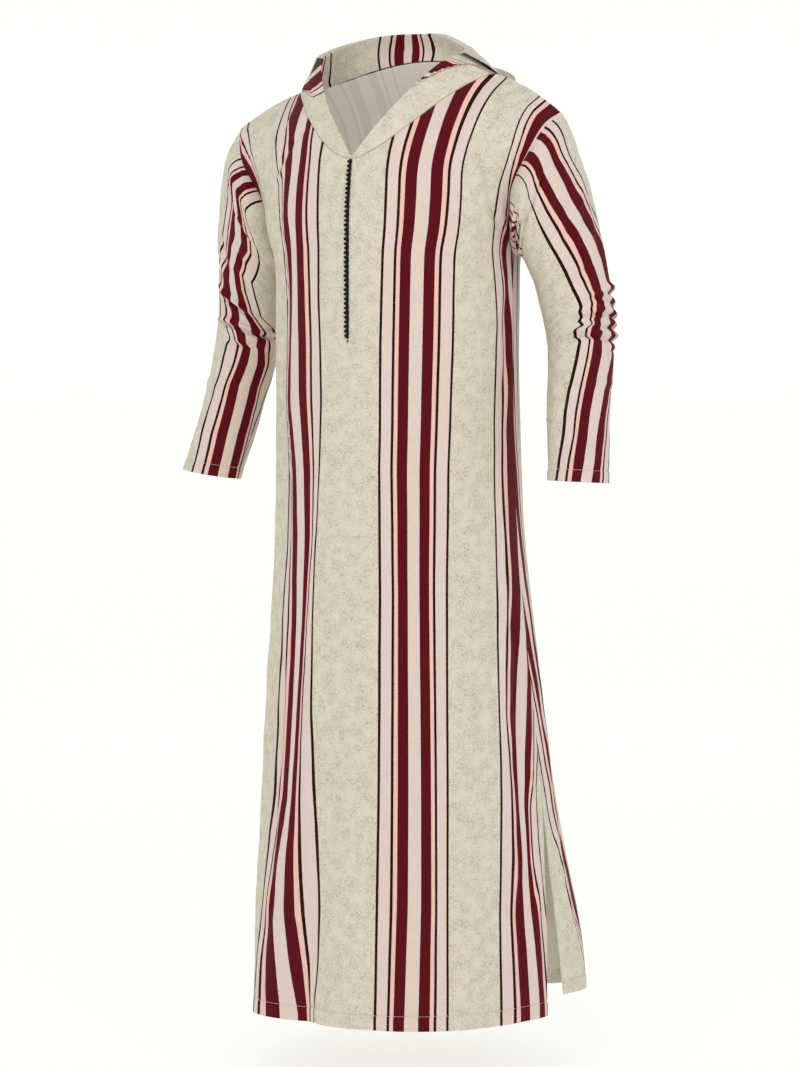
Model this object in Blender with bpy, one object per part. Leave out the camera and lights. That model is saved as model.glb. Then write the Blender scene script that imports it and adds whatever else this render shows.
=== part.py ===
"""Djellaba: a long hooded robe of striped cloth, filled out as if worn, with no wearer.

The robe faces -Y and its wearer's left is +X. The origin is between the two points where the
shoulder seams meet the neck, so the hem hangs below it. Metres.

Each piece of cloth is a wall worked out from a short table of sections. A seam is shared by its
two pieces: both walls stop on the plane that halves the seam's angle, SEAM_GAP apart.
"""

import math

import bmesh
import bpy
from mathutils import Vector

for old in list(bpy.data.objects):
    bpy.data.objects.remove(old, do_unlink=True)
robe = bpy.data.collections.new("djellaba_robe")
bpy.context.scene.collection.children.link(robe)

# ---- driving sizes -------------------------------------------------------------------------
WALL = 0.0016  # thickness of the cloth's wall
SEAM_GAP = 0.0003  # between two pieces that are sewn together
ROBE_LENGTH = 1.375  # shoulder seam at the neck down to the hem
ARMPIT_DROP = 0.262  # the same point down to the armpit
SLIT_LENGTH = 0.31  # open side seam above the hem
SEAM_DRIFT = math.radians(7)  # how far the side seams swing to the back on their way down
SLIT_TURN_FRONT = math.radians(2.5)  # how far the front's slit edge draws back at the hem
SLIT_TURN_BACK = math.radians(6.0)
HEM_RISE = {"left": 0.022, "right": 0.0}  # the hem's rise towards the side seams
HEM_LEVEL = 0.3  # share of the half hem that stays level
BACK_HEM_RISE = 0.008

NECK_HALF_WIDTH = 0.160  # neck seam's end on the shoulder seam
NECK_POINT_DEPTH = 0.135  # bottom of the V below the shoulder
BACK_NECK = Vector((0, 0.074, 0.044))  # middle of the back neck seam
FRONT_NECK = Vector((0, -0.040, 0.020))  # where the front's top line would meet the middle
NECK_ROUND = 2.2  # how squarely the neck seam turns at the shoulders
NECK_SHARE = 0.60  # the neck's share of the half shoulder line
V_CURVE = 1.6  # 1 is a straight V, and more is rounder at its point
SHOULDER_TIP_X = 0.266
SHOULDER_SLOPE = 0.55  # 1 is a straight shoulder seam, and less falls off towards the tip
YOKE_WRAP = math.radians(32)  # how far a half panel turns at the shoulder; 90 degrees below
SHOULDER_TIP_DROP = {"left": 0.068, "right": 0.046}
CUFF_LOWER = {"left": 0.011, "right": 0.0}  # the sleeves don't hang quite alike

BRAID_LENGTH = 0.262
BRAID_START = 0.002  # below the V's point
BRAID_EDGE = 0.0005  # its straight edge, towards the wearer's left of the middle
BRAID_WIDTH = 0.0065
BRAID_THICKNESS = 0.0018

HOOD_HALF_WIDTH = 0.66  # share of the half shoulder line that the hanging hood takes
HOOD_DROP = 0.33  # its point, below the back neck
HOOD_END_DROP = 0.035  # the same at the hood's ends, on the shoulders
HOOD_POINT = 1.7  # 1 is a straight-sided point, and more is rounder
HOOD_CLEARANCE = 0.007  # between the hanging hood and the back
HOOD_FULLNESS = 0.066  # how far the hood's outer side stands off its inner side

# Mesh density.
SIDE_COLUMNS = 15  # columns in a half panel
LOW_ROWS = 20  # rows from the hem to the armpit
HIGH_ROWS = 10  # rows from the armpit to the shoulder
SLEEVE_STEPS = 2  # rings between two sleeve sections
COLLAR_ROWS = 5
NECK_COLUMNS = 9  # columns of a half panel that end on the neck: NECK_SHARE of SIDE_COLUMNS
HOOD_ROWS = 8
BRAID_ROWS = 20

# Level sections of the body: half widths to the wearer's left and right, depths front and back.
BODY_COLUMNS = ("z", "left", "right", "front", "back")
BODY_SECTIONS = (
    (-1.380, 0.212, 0.219, 0.178, 0.240),
    (-1.220, 0.207, 0.214, 0.174, 0.235),
    (-1.070, 0.203, 0.208, 0.170, 0.225),
    (-0.920, 0.199, 0.203, 0.168, 0.208),
    (-0.770, 0.195, 0.195, 0.166, 0.190),
    (-0.620, 0.190, 0.189, 0.161, 0.172),
    (-0.470, 0.188, 0.189, 0.157, 0.155),
    (-0.262, 0.188, 0.188, 0.157, 0.150),
)

# Long soft folds of the body. turn is degrees from the front's middle, + to the wearer's left;
# drift is how far it has turned at its low end; out is + for a ridge and - for a trough.
FOLD_COLUMNS = ("turn", "drift", "spread", "top", "bottom", "out")
BODY_FOLDS = (
    (-54, 0, 11, -0.15, -1.15, -0.012),
    (-17, 0, 6, -0.95, -1.90, -0.011),
    (-42, 0, 13, -0.95, -1.90, 0.018),
    (108, 4, 26, -0.62, -1.75, 0.030),
    (118, 4, 15, -1.00, -1.75, 0.040),
    (168, -6, 16, -0.60, -1.60, -0.018),
    (-150, 6, 14, -0.55, -1.60, 0.020),
    (-118, 4, 12, -0.70, -1.60, -0.014),
)

# The armhole, from the armpit (up = 0) to the shoulder's tip (up = 1). forward is the reach of
# the front edge before the shoulder seam, and backward that of the back edge behind it.
ARMHOLE_COLUMNS = ("up", "x", "forward", "backward")
ARMHOLE = (
    (0.00, 0.188, 0.000, 0.000),
    (0.20, 0.186, 0.040, 0.040),
    (0.45, 0.194, 0.066, 0.062),
    (0.70, 0.220, 0.064, 0.060),
    (0.90, 0.252, 0.036, 0.034),
    (1.00, 0.266, 0.000, 0.000),
)

# The middle line of each half of the yoke, from the armpit's level up to the shoulder line,
# which it meets inside the neck opening.
CENTRE_COLUMNS = ("up", "front", "back", "rise")
YOKE_CENTRE = (
    (0.00, 0.157, 0.150, 0.00),
    (0.25, 0.154, 0.150, 0.25),
    (0.50, 0.142, 0.142, 0.50),
    (0.75, 0.100, 0.118, 0.76),
    (1.00, 0.040, 0.074, 1.00),
)

# Sleeve sections from the shoulder to the cuff: the outer and the inner point of each, where
# its middle lies from front to back, and half its depth.
SLEEVE_COLUMNS = ("outer_x", "outer_z", "inner_x", "inner_z", "y", "depth")
SLEEVE_SECTIONS = (
    (0.279, -0.108, 0.198, -0.264, 0.004, 0.078),
    (0.297, -0.165, 0.206, -0.276, 0.012, 0.070),
    (0.308, -0.225, 0.213, -0.300, 0.024, 0.062),
    (0.318, -0.285, 0.219, -0.333, 0.036, 0.056),
    (0.325, -0.345, 0.226, -0.370, 0.042, 0.052),
    (0.329, -0.405, 0.233, -0.414, 0.033, 0.049),
    (0.332, -0.465, 0.240, -0.468, 0.013, 0.047),
    (0.338, -0.530, 0.249, -0.530, -0.010, 0.0455),
    (0.345, -0.590, 0.258, -0.585, -0.031, 0.0445),
)

# The free edge of the hood's neck part: how far round the neck it is (0 at the V, 1 at the
# back), and its place.
COLLAR_COLUMNS = ("round", "x", "y", "z")
COLLAR_EDGE = (
    (0.00, 0.000, -0.1500, -0.131),
    (0.20, 0.030, -0.1330, -0.088),
    (0.40, 0.064, -0.1050, -0.040),
    (0.56, 0.096, -0.0620, 0.012),
    (0.70, 0.112, -0.0100, 0.044),
    (0.85, 0.080, 0.0480, 0.068),
    (1.00, 0.000, 0.0720, 0.078),
)
COLLAR_SHOULDER = 0.62  # how far round the neck the shoulder seam lies
COLLAR_START = 0.03  # it begins just beside the V
COLLAR_LIFT = 0.0012  # off the neck seam
COLLAR_SWELL = 0.006  # how far its middle stands out behind the shoulders
COLLAR_SWELL_FROM = 0.3  # how far round the swell begins
COLLAR_MIDDLE = Vector((0, 0.02, 0))  # it swells away from here
HOOD_MIDDLE = Vector((0, -0.03, 0))  # and the hood rolls away from here
HOOD_FROM = COLLAR_SHOULDER + (1 - COLLAR_SHOULDER) / NECK_COLUMNS  # the hanging hood's start
HOOD_TOP_DROP = 0.012
HOOD_RIM_DROP = 0.010
HOOD_FOLD = 0.012  # least space inside the hanging hood, in its middle
HOOD_END_FOLD = 0.005  # and at its ends
HOOD_FLATTENS = 3  # how soon the hood narrows below its open mouth
HOOD_SPACING = 1.3  # rows lie closer together near the top
ROLL_START = 0.0009  # how the hood rolls over: where it starts off the neck part's edge
ROLL_OUT = 0.010
ROLL_UP = 0.002
ROLL_OVER = 0.004

COLOURS = {
    "front_panel": (0.68, 0.63, 0.52),
    "back_panel": (0.62, 0.58, 0.48),
    "sleeve_left": (0.45, 0.08, 0.10),
    "sleeve_right": (0.45, 0.08, 0.10),
    "hood_neck": (0.72, 0.67, 0.57),
    "hood_bag": (0.66, 0.58, 0.53),
    "placket_braid": (0.01, 0.01, 0.01),
}


# ---- reading the tables ---------------------------------------------------------------------
def ease(share):
    """0 to 1, level at both ends."""
    share = min(1, max(0, share))
    return share * share * (3 - 2 * share)


def column_at(rows, columns, key, name, at):
    """The named column where column key is at, on a smooth curve through the rows."""
    k, n = columns.index(key), columns.index(name)
    last = len(rows) - 1
    at = min(rows[last][k], max(rows[0][k], at))
    i = 0
    while i < last - 1 and rows[i + 1][k] < at:
        i += 1
    span = rows[i + 1][k] - rows[i][k]

    def slope(j):
        low, high = max(0, j - 1), min(last, j + 1)
        return (rows[high][n] - rows[low][n]) / (rows[high][k] - rows[low][k])

    s = (at - rows[i][k]) / span
    start = (2 * s**3 - 3 * s**2 + 1) * rows[i][n] + (s**3 - 2 * s**2 + s) * span * slope(i)
    end = (3 * s**2 - 2 * s**3) * rows[i + 1][n] + (s**3 - s**2) * span * slope(i + 1)
    return start + end


def body_size(name, z):
    return column_at(BODY_SECTIONS, BODY_COLUMNS, "z", name, z)


# ---- the body's surface ---------------------------------------------------------------------
def fold_out(turn, z):
    """How far the folds push the body's surface out at this turn and height."""
    total = 0
    for middle, drift, spread, top, bottom, out in BODY_FOLDS:
        down = (top - z) / (top - bottom)
        if down <= 0:
            continue
        away = (math.degrees(turn) - middle - drift * down + 180) % 360 - 180
        swell = ease(2.2 * down) * ease(2.2 * (1 - down) + 0.25)
        total += out * swell * math.exp(-((away / spread) ** 2))
    return total


def body_point(turn, z):
    """The body's surface below the armpits, at an angle from the front's middle."""
    across = body_size("left" if turn > 0 else "right", z)
    deep = body_size("front" if math.cos(turn) > 0 else "back", z)
    out = fold_out(turn, z)
    return Vector(((across + out) * math.sin(turn), -(deep + out) * math.cos(turn), z))


def armhole_point(side, face, up):
    sign = 1 if side == "left" else -1
    reach = "forward" if face == "front" else "backward"
    x = column_at(ARMHOLE, ARMHOLE_COLUMNS, "up", "x", up)
    y = column_at(ARMHOLE, ARMHOLE_COLUMNS, "up", reach, up)
    z = -ARMPIT_DROP + up * (ARMPIT_DROP - SHOULDER_TIP_DROP[side])
    return Vector((sign * x, -y if face == "front" else y, z))


def shoulder_line(side, face, share):
    """The top edge of a half panel, from inside the neck opening (0) to the tip (1)."""
    sign = 1 if side == "left" else -1
    drop = SHOULDER_TIP_DROP[side]
    if share >= NECK_SHARE:
        along = (share - NECK_SHARE) / (1 - NECK_SHARE)
        x = NECK_HALF_WIDTH + along * (SHOULDER_TIP_X - NECK_HALF_WIDTH)
        return Vector((sign * x, 0, -drop * (SHOULDER_SLOPE * along + (1 - SHOULDER_SLOPE) * along**2)))
    inward = share / NECK_SHARE
    middle = BACK_NECK if face == "back" else FRONT_NECK
    round_off = math.sqrt(max(0, 1 - inward**NECK_ROUND))
    x = sign * NECK_HALF_WIDTH * inward
    return Vector((x, middle.y * round_off, middle.z * (1 - inward**2)))


def yoke_point(side, face, share, up):
    """A half panel above the armpit: share 0 to 1 from the middle to the armhole."""
    sign = 1 if side == "left" else -1
    edge = armhole_point(side, face, up)
    middle_y = column_at(YOKE_CENTRE, CENTRE_COLUMNS, "up", face, up)
    if face == "front":
        middle_y = -middle_y
    top = shoulder_line(side, face, 0).z
    rise = column_at(YOKE_CENTRE, CENTRE_COLUMNS, "up", "rise", up)
    middle_z = -ARMPIT_DROP + rise * (ARMPIT_DROP + top)
    wrap = math.pi / 2 + (YOKE_WRAP - math.pi / 2) * ease(up)
    angle = share * wrap

    def base(edge, middle_y, middle_z, angle, wrap):
        x = abs(edge.x) * math.sin(angle) / math.sin(wrap)
        y = middle_y + (edge.y - middle_y) * (1 - math.cos(angle)) / (1 - math.cos(wrap))
        z = middle_z + (edge.z - middle_z) * (angle / wrap) ** 2
        return Vector((sign * x, y, z))

    tip, middle = armhole_point(side, face, 1), shoulder_line(side, face, 0)
    at_top = base(tip, middle.y, top, share * YOKE_WRAP, YOKE_WRAP)
    point = base(edge, middle_y, middle_z, angle, wrap)
    return point + (shoulder_line(side, face, share) - at_top) * up**3


def neck_top(face, share):
    """How high a column of a half panel reaches in the yoke: 1 is the shoulder line."""
    if face == "back" or share >= NECK_SHARE:
        return 1
    low = (ARMPIT_DROP - NECK_POINT_DEPTH) / (ARMPIT_DROP + shoulder_line("left", face, 0).z)
    return low + (1 - low) * (share / NECK_SHARE) ** V_CURVE


def hem_height(face, share):
    from_middle = (abs(share) - HEM_LEVEL) / (1 - HEM_LEVEL)
    rise = HEM_RISE["left" if share > 0 else "right"] * ease(from_middle)
    return -ROBE_LENGTH + rise + (BACK_HEM_RISE if face == "back" else 0)


def panel_point(face, share, low, high=0):
    """share -1 to 1 from the wearer's right seam to the left; low 0 to 1 from the hem to the
    armpit, then high 0 to 1 up to the shoulder or the neck."""
    side = "left" if share > 0 else "right"
    if high > 0:
        return yoke_point(side, face, abs(share), high * neck_top(face, abs(share)))
    hem = hem_height(face, share)
    z = hem + low * (-ARMPIT_DROP - hem)
    opened = max(0, (z + ROBE_LENGTH - SLIT_LENGTH) / -SLIT_LENGTH)
    drift = SEAM_DRIFT * ease(1 - low)
    if face == "front":
        turn = share * (math.pi / 2 + drift - SLIT_TURN_FRONT * opened)
    else:
        turn = math.pi - share * (math.pi / 2 - drift - SLIT_TURN_BACK * opened)
    return body_point(math.remainder(turn, 2 * math.pi), z)


def panel_grid(face):
    """Rows of points from the hem up, each from the wearer's right to the left."""
    shares = [j / SIDE_COLUMNS for j in range(-SIDE_COLUMNS, SIDE_COLUMNS + 1)]
    rows = [[panel_point(face, s, i / LOW_ROWS) for s in shares] for i in range(LOW_ROWS + 1)]
    for i in range(1, HIGH_ROWS + 1):
        up = (1 - math.cos(math.pi * i / HIGH_ROWS)) / 2
        rows.append([panel_point(face, s, 1, up) for s in shares])
    return rows


# ---- walls ----------------------------------------------------------------------------------
def across_rows(rows, i, j, around):
    wide = len(rows[0])
    ahead = (j + 1) % wide if around else min(j + 1, wide - 1)
    behind = (j - 1) % wide if around else max(j - 1, 0)
    return rows[i][ahead] - rows[i][behind]


def normals_of(rows, around=False):
    """Unit normals of a grid; with rows going up and points going left to right seen from
    outside, they point out."""
    result = []
    for i in range(len(rows)):
        low, high = max(i - 1, 0), min(i + 1, len(rows) - 1)
        line = []
        for j in range(len(rows[0])):
            up = rows[high][j] - rows[low][j]
            line.append(across_rows(rows, i, j, around).cross(up).normalized())
        result.append(line)
    return result


def make_wall(name, outside, inside, around=False):
    """One closed body between two grids of points."""
    mesh = bmesh.new()
    high, wide = len(outside), len(outside[0])
    out = [[mesh.verts.new(p) for p in row] for row in outside]
    back = [[mesh.verts.new(p) for p in row] for row in inside]
    columns = range(wide) if around else range(wide - 1)
    for j in columns:
        k = (j + 1) % wide
        for i in range(high - 1):
            mesh.faces.new((out[i][j], out[i][k], out[i + 1][k], out[i + 1][j]))
            mesh.faces.new((back[i + 1][j], back[i + 1][k], back[i][k], back[i][j]))
        mesh.faces.new((out[0][k], out[0][j], back[0][j], back[0][k]))
        mesh.faces.new((out[-1][j], out[-1][k], back[-1][k], back[-1][j]))
    if not around:
        for i in range(high - 1):
            mesh.faces.new((out[i][0], out[i + 1][0], back[i + 1][0], back[i][0]))
            mesh.faces.new((out[i + 1][-1], out[i][-1], back[i][-1], back[i + 1][-1]))
    bmesh.ops.triangulate(mesh, faces=mesh.faces)
    data = bpy.data.meshes.new(name)
    mesh.to_mesh(data)
    mesh.free()
    data.shade_smooth()
    data.set_sharp_from_angle(angle=math.radians(50))
    piece = bpy.data.objects.new(name, data)
    robe.objects.link(piece)
    material = bpy.data.materials.new(name)
    material.use_nodes = True
    shader = material.node_tree.nodes["Principled BSDF"]
    shader.inputs["Base Color"].default_value = (*COLOURS[name], 1)
    shader.inputs["Roughness"].default_value = 0.85
    shader.inputs["Metallic"].default_value = 0
    data.materials.append(material)
    return piece


def keep_behind(inward, plane):
    """A wall's inward step that doesn't cross the seam's plane, whose normal points across it."""
    return inward - max(0, inward.dot(plane)) * plane


# ---- the pieces -----------------------------------------------------------------------------
def sleeve_sections(side, loop):
    """The armhole, then rings down to the cuff, each with the armhole's number of points."""
    sign = 1 if side == "left" else -1
    count = len(loop)
    rings = [loop]
    shift = SHOULDER_TIP_DROP["left"] - SHOULDER_TIP_DROP[side]
    last = len(SLEEVE_SECTIONS) - 1
    numbered = [(i, *row) for i, row in enumerate(SLEEVE_SECTIONS)]
    columns = ("number", *SLEEVE_COLUMNS)
    for step in range(last * SLEEVE_STEPS + 1):
        at = step / SLEEVE_STEPS
        size = {c: column_at(numbered, columns, "number", c, at) for c in SLEEVE_COLUMNS}
        lift = shift * (1 - at / last)
        lower = CUFF_LOWER[side] * at / last
        outer = Vector((size["outer_x"], size["y"], size["outer_z"] + lift - lower))
        inner = Vector((size["inner_x"], size["y"], size["inner_z"] - lower))
        middle, half = (outer + inner) / 2, (outer - inner) / 2
        ring = []
        for i in range(count):
            turn = math.tau * i / count
            p = middle + half * math.cos(turn) - Vector((0, size["depth"] * math.sin(turn), 0))
            ring.append(Vector((sign * p.x, p.y, p.z)))
        rings.append(ring)
    return rings


def build_body_and_sleeves():
    grids = {face: panel_grid(face) for face in ("front", "back")}
    steps = {face: normals_of(grids[face]) for face in grids}
    for row in steps["front"]:
        for normal in row:
            normal.negate()
    sleeves = {}
    for side in ("left", "right"):
        column = -1 if side == "left" else 0
        front = [grids["front"][LOW_ROWS + i][column].copy() for i in range(HIGH_ROWS + 1)]
        back = [grids["back"][LOW_ROWS + i][column].copy() for i in range(HIGH_ROWS + 1)]
        loop = front[::-1] + back[1:-1]
        sleeves[side] = sleeve_sections(side, loop)

    # Side seams and shoulder seams: each panel ends square to itself, half a gap short.
    for face, sign in (("front", -1), ("back", 1)):
        grid, inward = grids[face], steps[face]
        for i, row in enumerate(grid):
            for j, near in ((0, 1), (-1, -2)):
                if i <= LOW_ROWS:
                    plane = (row[j] - row[near]).normalized()
                    inward[i][j] = keep_behind(inward[i][j], plane)
                    row[j] = row[j] - plane * SEAM_GAP / 2
        for j, point in enumerate(grid[-1]):
            if abs(j - SIDE_COLUMNS) / SIDE_COLUMNS >= NECK_SHARE:
                inward[-1][j] = keep_behind(inward[-1][j], Vector((0, -sign, 0)))
                point.y += sign * SEAM_GAP / 2

    # Armhole seams: each plane halves the angle between the panel and the sleeve.
    for side, column, near in (("left", -1, -2), ("right", 0, 1)):
        rings = sleeves[side]
        count = len(rings[0])
        around = [row[::-1] for row in rings] if side == "left" else rings
        normals = normals_of(around[::-1], around=True)[::-1]
        if side == "left":
            normals = [row[::-1] for row in normals]
        inside_steps = [[-n for n in row] for row in normals]
        for i in range(count):
            row = LOW_ROWS + abs(HIGH_ROWS - i)
            into_sleeve = (rings[1][i] - rings[0][i]).normalized()
            shared = i in (0, HIGH_ROWS)
            faces = ("front", "back") if shared else ("front",) if i < HIGH_ROWS else ("back",)
            planes = []
            for face in faces:
                grid, inward = grids[face], steps[face]
                out_of_panel = (grid[row][column] - grid[row][near]).normalized()
                plane = (out_of_panel + into_sleeve).normalized()
                inward[row][column] = keep_behind(inward[row][column], plane)
                planes.append(plane)
            plane = sum(planes, Vector()).normalized()
            inside_steps[0][i] = keep_behind(inside_steps[0][i], -plane)
            rings[0][i] = rings[0][i] + plane * SEAM_GAP
        outside = rings[::-1]
        inside = [[p + WALL * s for p, s in zip(r, q)] for r, q in zip(rings, inside_steps)][::-1]
        if side == "left":
            outside = [row[::-1] for row in outside]
            inside = [row[::-1] for row in inside]
        make_wall(f"sleeve_{side}", outside, inside, around=True)

    for face in ("front", "back"):
        outside = grids[face]
        inside = [[p + WALL * s for p, s in zip(r, q)] for r, q in zip(outside, steps[face])]
        if face == "back":
            outside = [row[::-1] for row in outside]
            inside = [row[::-1] for row in inside]
        make_wall(f"{face}_panel", outside, inside)


def level(way):
    return Vector((way.x, way.y, 0)).normalized()


def neck_seam_point(round_neck, side):
    """The neck's seam on the front (up to the shoulder seam) and then on the back."""
    if round_neck <= COLLAR_SHOULDER:
        share = NECK_SHARE * round_neck / COLLAR_SHOULDER
        return yoke_point(side, "front", share, neck_top("front", share))
    share = NECK_SHARE * (1 - round_neck) / (1 - COLLAR_SHOULDER)
    return yoke_point(side, "back", share, 1)


def collar_edge_point(round_neck, side):
    sign = 1 if side == "left" else -1
    x, y, z = (column_at(COLLAR_EDGE, COLLAR_COLUMNS, "round", c, round_neck) for c in "xyz")
    return Vector((sign * x, y, z))


def build_hood_neck():
    """From the neck seam up to the roll: narrow beside the V, and standing at the back."""
    count = NECK_COLUMNS
    places = [COLLAR_SHOULDER * i / count for i in range(count)]
    places += [COLLAR_SHOULDER + (1 - COLLAR_SHOULDER) * i / count for i in range(count + 1)]
    places[0] = COLLAR_START
    half = [(at, "right") for at in places]
    rows = [[] for _ in range(COLLAR_ROWS + 1)]
    ups = []
    for at, side in half + [(at, "left") for at in places[-2::-1]]:
        seam, edge = neck_seam_point(at, side), collar_edge_point(at, side)
        up = (edge - seam).normalized()
        ups.append(up)
        seam = seam + up * COLLAR_LIFT
        away = level(seam - COLLAR_MIDDLE)
        swell = COLLAR_SWELL * ease(2.5 * (at - COLLAR_SWELL_FROM))
        for i, row in enumerate(rows):
            part_up = i / COLLAR_ROWS
            bulge = swell * math.sin(math.pi * part_up) * away
            row.append(seam.lerp(edge, part_up) + bulge)
    outward = normals_of(rows)
    if outward[1][len(rows[0]) // 2].y < 0:
        outward = [[-n for n in row] for row in outward]
    steps = [[-n for n in row] for row in outward]
    steps[0] = [keep_behind(step, -up) for step, up in zip(steps[0], ups)]
    inside = [[p + WALL * n for p, n in zip(r, q)] for r, q in zip(rows, steps)]
    make_wall("hood_neck", [r[::-1] for r in rows], [r[::-1] for r in inside])
    return rows


def hood_drop(share):
    """How far a column of the hanging hood reaches down, for its share of the half width."""
    return HOOD_END_DROP + (HOOD_DROP - HOOD_END_DROP) * (1 - share**HOOD_POINT)


def back_surface(side, share, drop):
    """The back panel's surface at a drop below the shoulder line, and its way out."""
    def at(share, drop):
        if drop < ARMPIT_DROP:
            return yoke_point(side, "back", share, 1 - drop / ARMPIT_DROP)
        z = -drop
        turn = math.pi - share * math.pi / 2
        return body_point(turn if side == "left" else -turn, z)

    here = at(share, drop)
    aside = at(share + 0.02, drop) - here
    below = at(share, drop + 0.01) - here
    out = aside.cross(below).normalized()
    return here, out if out.y > 0 else -out


def build_hood_bag():
    """The rest of the hood: over the roll, down the back, and up again to its open mouth."""
    half = NECK_COLUMNS - 1
    places = [(i / half, "right") for i in range(half, 0, -1)]
    places += [(i / half, "left") for i in range(half + 1)]
    rows = [[] for _ in range(2 * HOOD_ROWS + 3)]
    for share, side in places:
        at = 1 - share * (1 - HOOD_FROM)
        top = collar_edge_point(at, side)
        away = level(top - HOOD_MIDDLE)
        panel_share = HOOD_HALF_WIDTH * share
        deep = hood_drop(share)
        column = [top + away * ROLL_START, top + away * ROLL_OUT + Vector((0, 0, ROLL_UP))]
        down = []
        for i in range(1, HOOD_ROWS + 1):
            drop = HOOD_TOP_DROP + (deep - HOOD_TOP_DROP) * (i / HOOD_ROWS) ** HOOD_SPACING
            here, out = back_surface(side, panel_share, drop)
            down.append(here + out * (HOOD_CLEARANCE + WALL))
        over = column[1].lerp(down[0], 0.5) + Vector((0, 0, ROLL_OVER))
        column += [over, *down]
        for i in range(HOOD_ROWS, 0, -1):
            part_down = (i - 0.4) / HOOD_ROWS
            drop = HOOD_RIM_DROP + (deep - HOOD_RIM_DROP) * part_down**HOOD_SPACING
            here, out = back_surface(side, panel_share, drop)
            full = HOOD_FULLNESS * (1 - part_down) ** HOOD_FLATTENS * (1 - share**2)
            fold = HOOD_FOLD - (HOOD_FOLD - HOOD_END_FOLD) * share**2
            backward = (out + Vector((0, 2, 0))).normalized()
            column.append(here + out * (HOOD_CLEARANCE + WALL + fold) + backward * full)
        for row, point in zip(rows, column):
            row.append(point)
    normals = normals_of(rows)
    mid = len(rows[0]) // 2
    if normals[HOOD_ROWS // 2 + 2][mid].y > 0:
        normals = [[-n for n in row] for row in normals]
    other = [[p - WALL * n for p, n in zip(r, q)] for r, q in zip(rows, normals)]
    make_wall("hood_bag", [r[::-1] for r in rows], [r[::-1] for r in other])


def front_surface(x, drop):
    """The front panel's surface near its middle."""
    side = "left" if x > 0 else "right"
    turn = x / body_size(side, -ARMPIT_DROP)
    if drop >= ARMPIT_DROP:
        return body_point(turn, -drop)
    low, high = 0.0, 1.0
    for _ in range(30):
        up = (low + high) / 2
        if yoke_point(side, "front", 0, up).z < -drop:
            low = up
        else:
            high = up
    return yoke_point(side, "front", abs(turn) / (math.pi / 2), low)


def build_braid():
    """The braid beside the front's middle, from the V down."""
    rows = []
    inside = []
    for i in range(BRAID_ROWS + 1):
        drop = NECK_POINT_DEPTH + BRAID_START + BRAID_LENGTH * i / BRAID_ROWS
        line, back = [], []
        for x in (BRAID_EDGE - BRAID_WIDTH, BRAID_EDGE):
            here = front_surface(x, drop)
            forward = Vector((0, -1, 0))
            line.append(here + forward * (SEAM_GAP + BRAID_THICKNESS))
            back.append(here + forward * SEAM_GAP)
        rows.append(line)
        inside.append(back)
    make_wall("placket_braid", rows[::-1], inside[::-1])


build_body_and_sleeves()
build_hood_neck()
build_hood_bag()
build_braid()
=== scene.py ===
import math

import bpy
import numpy as np
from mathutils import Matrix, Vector, noise


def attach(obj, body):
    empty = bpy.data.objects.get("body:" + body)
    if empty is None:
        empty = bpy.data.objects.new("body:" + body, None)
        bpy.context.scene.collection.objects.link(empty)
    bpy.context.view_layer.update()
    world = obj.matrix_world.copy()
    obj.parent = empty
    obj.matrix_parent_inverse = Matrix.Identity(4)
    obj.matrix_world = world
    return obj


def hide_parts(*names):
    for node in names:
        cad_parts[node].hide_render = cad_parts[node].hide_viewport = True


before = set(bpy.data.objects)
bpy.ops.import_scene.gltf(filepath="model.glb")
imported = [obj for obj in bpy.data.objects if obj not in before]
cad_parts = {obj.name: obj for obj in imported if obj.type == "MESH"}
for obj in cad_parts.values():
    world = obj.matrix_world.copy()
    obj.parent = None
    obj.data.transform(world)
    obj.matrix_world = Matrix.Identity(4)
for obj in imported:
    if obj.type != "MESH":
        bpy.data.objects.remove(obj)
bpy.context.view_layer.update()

# ---- Striped cotton cloth -------------------------------------------------------------------
# A medium-weight cotton, plain woven and printed with long stripes: oatmeal panels with a grey
# fleck, and between them groups of maroon, pink and near-black lines. Sewn by machine.
CLOTH_THICKNESS = 0.0016
REPEAT_MM = 200.0
STRIPES_MM = (
    ("oatmeal", 0.0),
    ("black_line", 47.2),
    ("pale", 51.0),
    ("black_line", 66.9),
    ("pink", 70.7),
    ("maroon", 75.9),
    ("pale", 91.4),
    ("maroon", 108.6),
    ("pink", 124.1),
    ("black_line", 129.3),
    ("pale", 133.1),
    ("black_line", 149.0),
    ("oatmeal", 152.8),
)
PRINT_COLOURS = {
    "oatmeal": "#D9D2C4",
    "black_line": "#290A03",
    "pale": "#DAC9C0",
    "pink": "#E4BBB4",
    "maroon": "#560B13",
}
WRONG_SIDE = "#E9E4D8"
PRINT_GHOSTS = 0.14
# The printed edges fray by a third of a millimetre each way.
FRAY = 0.0007
FRAY_SCALE = 420.0
# The fleck: grey curls along the borders of cells 2.6 mm across, bent over some 7 mm, and
# denser and thinner in patches about 18 mm across.
FLECK = "#A39B87"
FLECK_SHOWS = {"oatmeal": 1.0, "pale": 0.25}
FLECK_SCALE = 390.0
FLECK_LINE = 0.17
FLECK_STRENGTH = 0.85
FLECK_BEND = 0.007
FLECK_BEND_SCALE = 150.0
PATCH_SCALE = 55.0
# Threads lie 0.5 mm apart. They are drawn 1.1 mm apart so that they show: a wave's bands are
# 0.314 / scale apart.
WEAVE_SCALE = 285.0
WEAVE_RELIEF = 0.0004


def linear(hex_colour):
    """An sRGB hex colour as linear RGBA."""
    values = [int(hex_colour[i : i + 2], 16) / 255 for i in (1, 3, 5)]
    return tuple(v / 12.92 if v <= 0.04045 else ((v + 0.055) / 1.055) ** 2.4 for v in values) + (1,)


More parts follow.
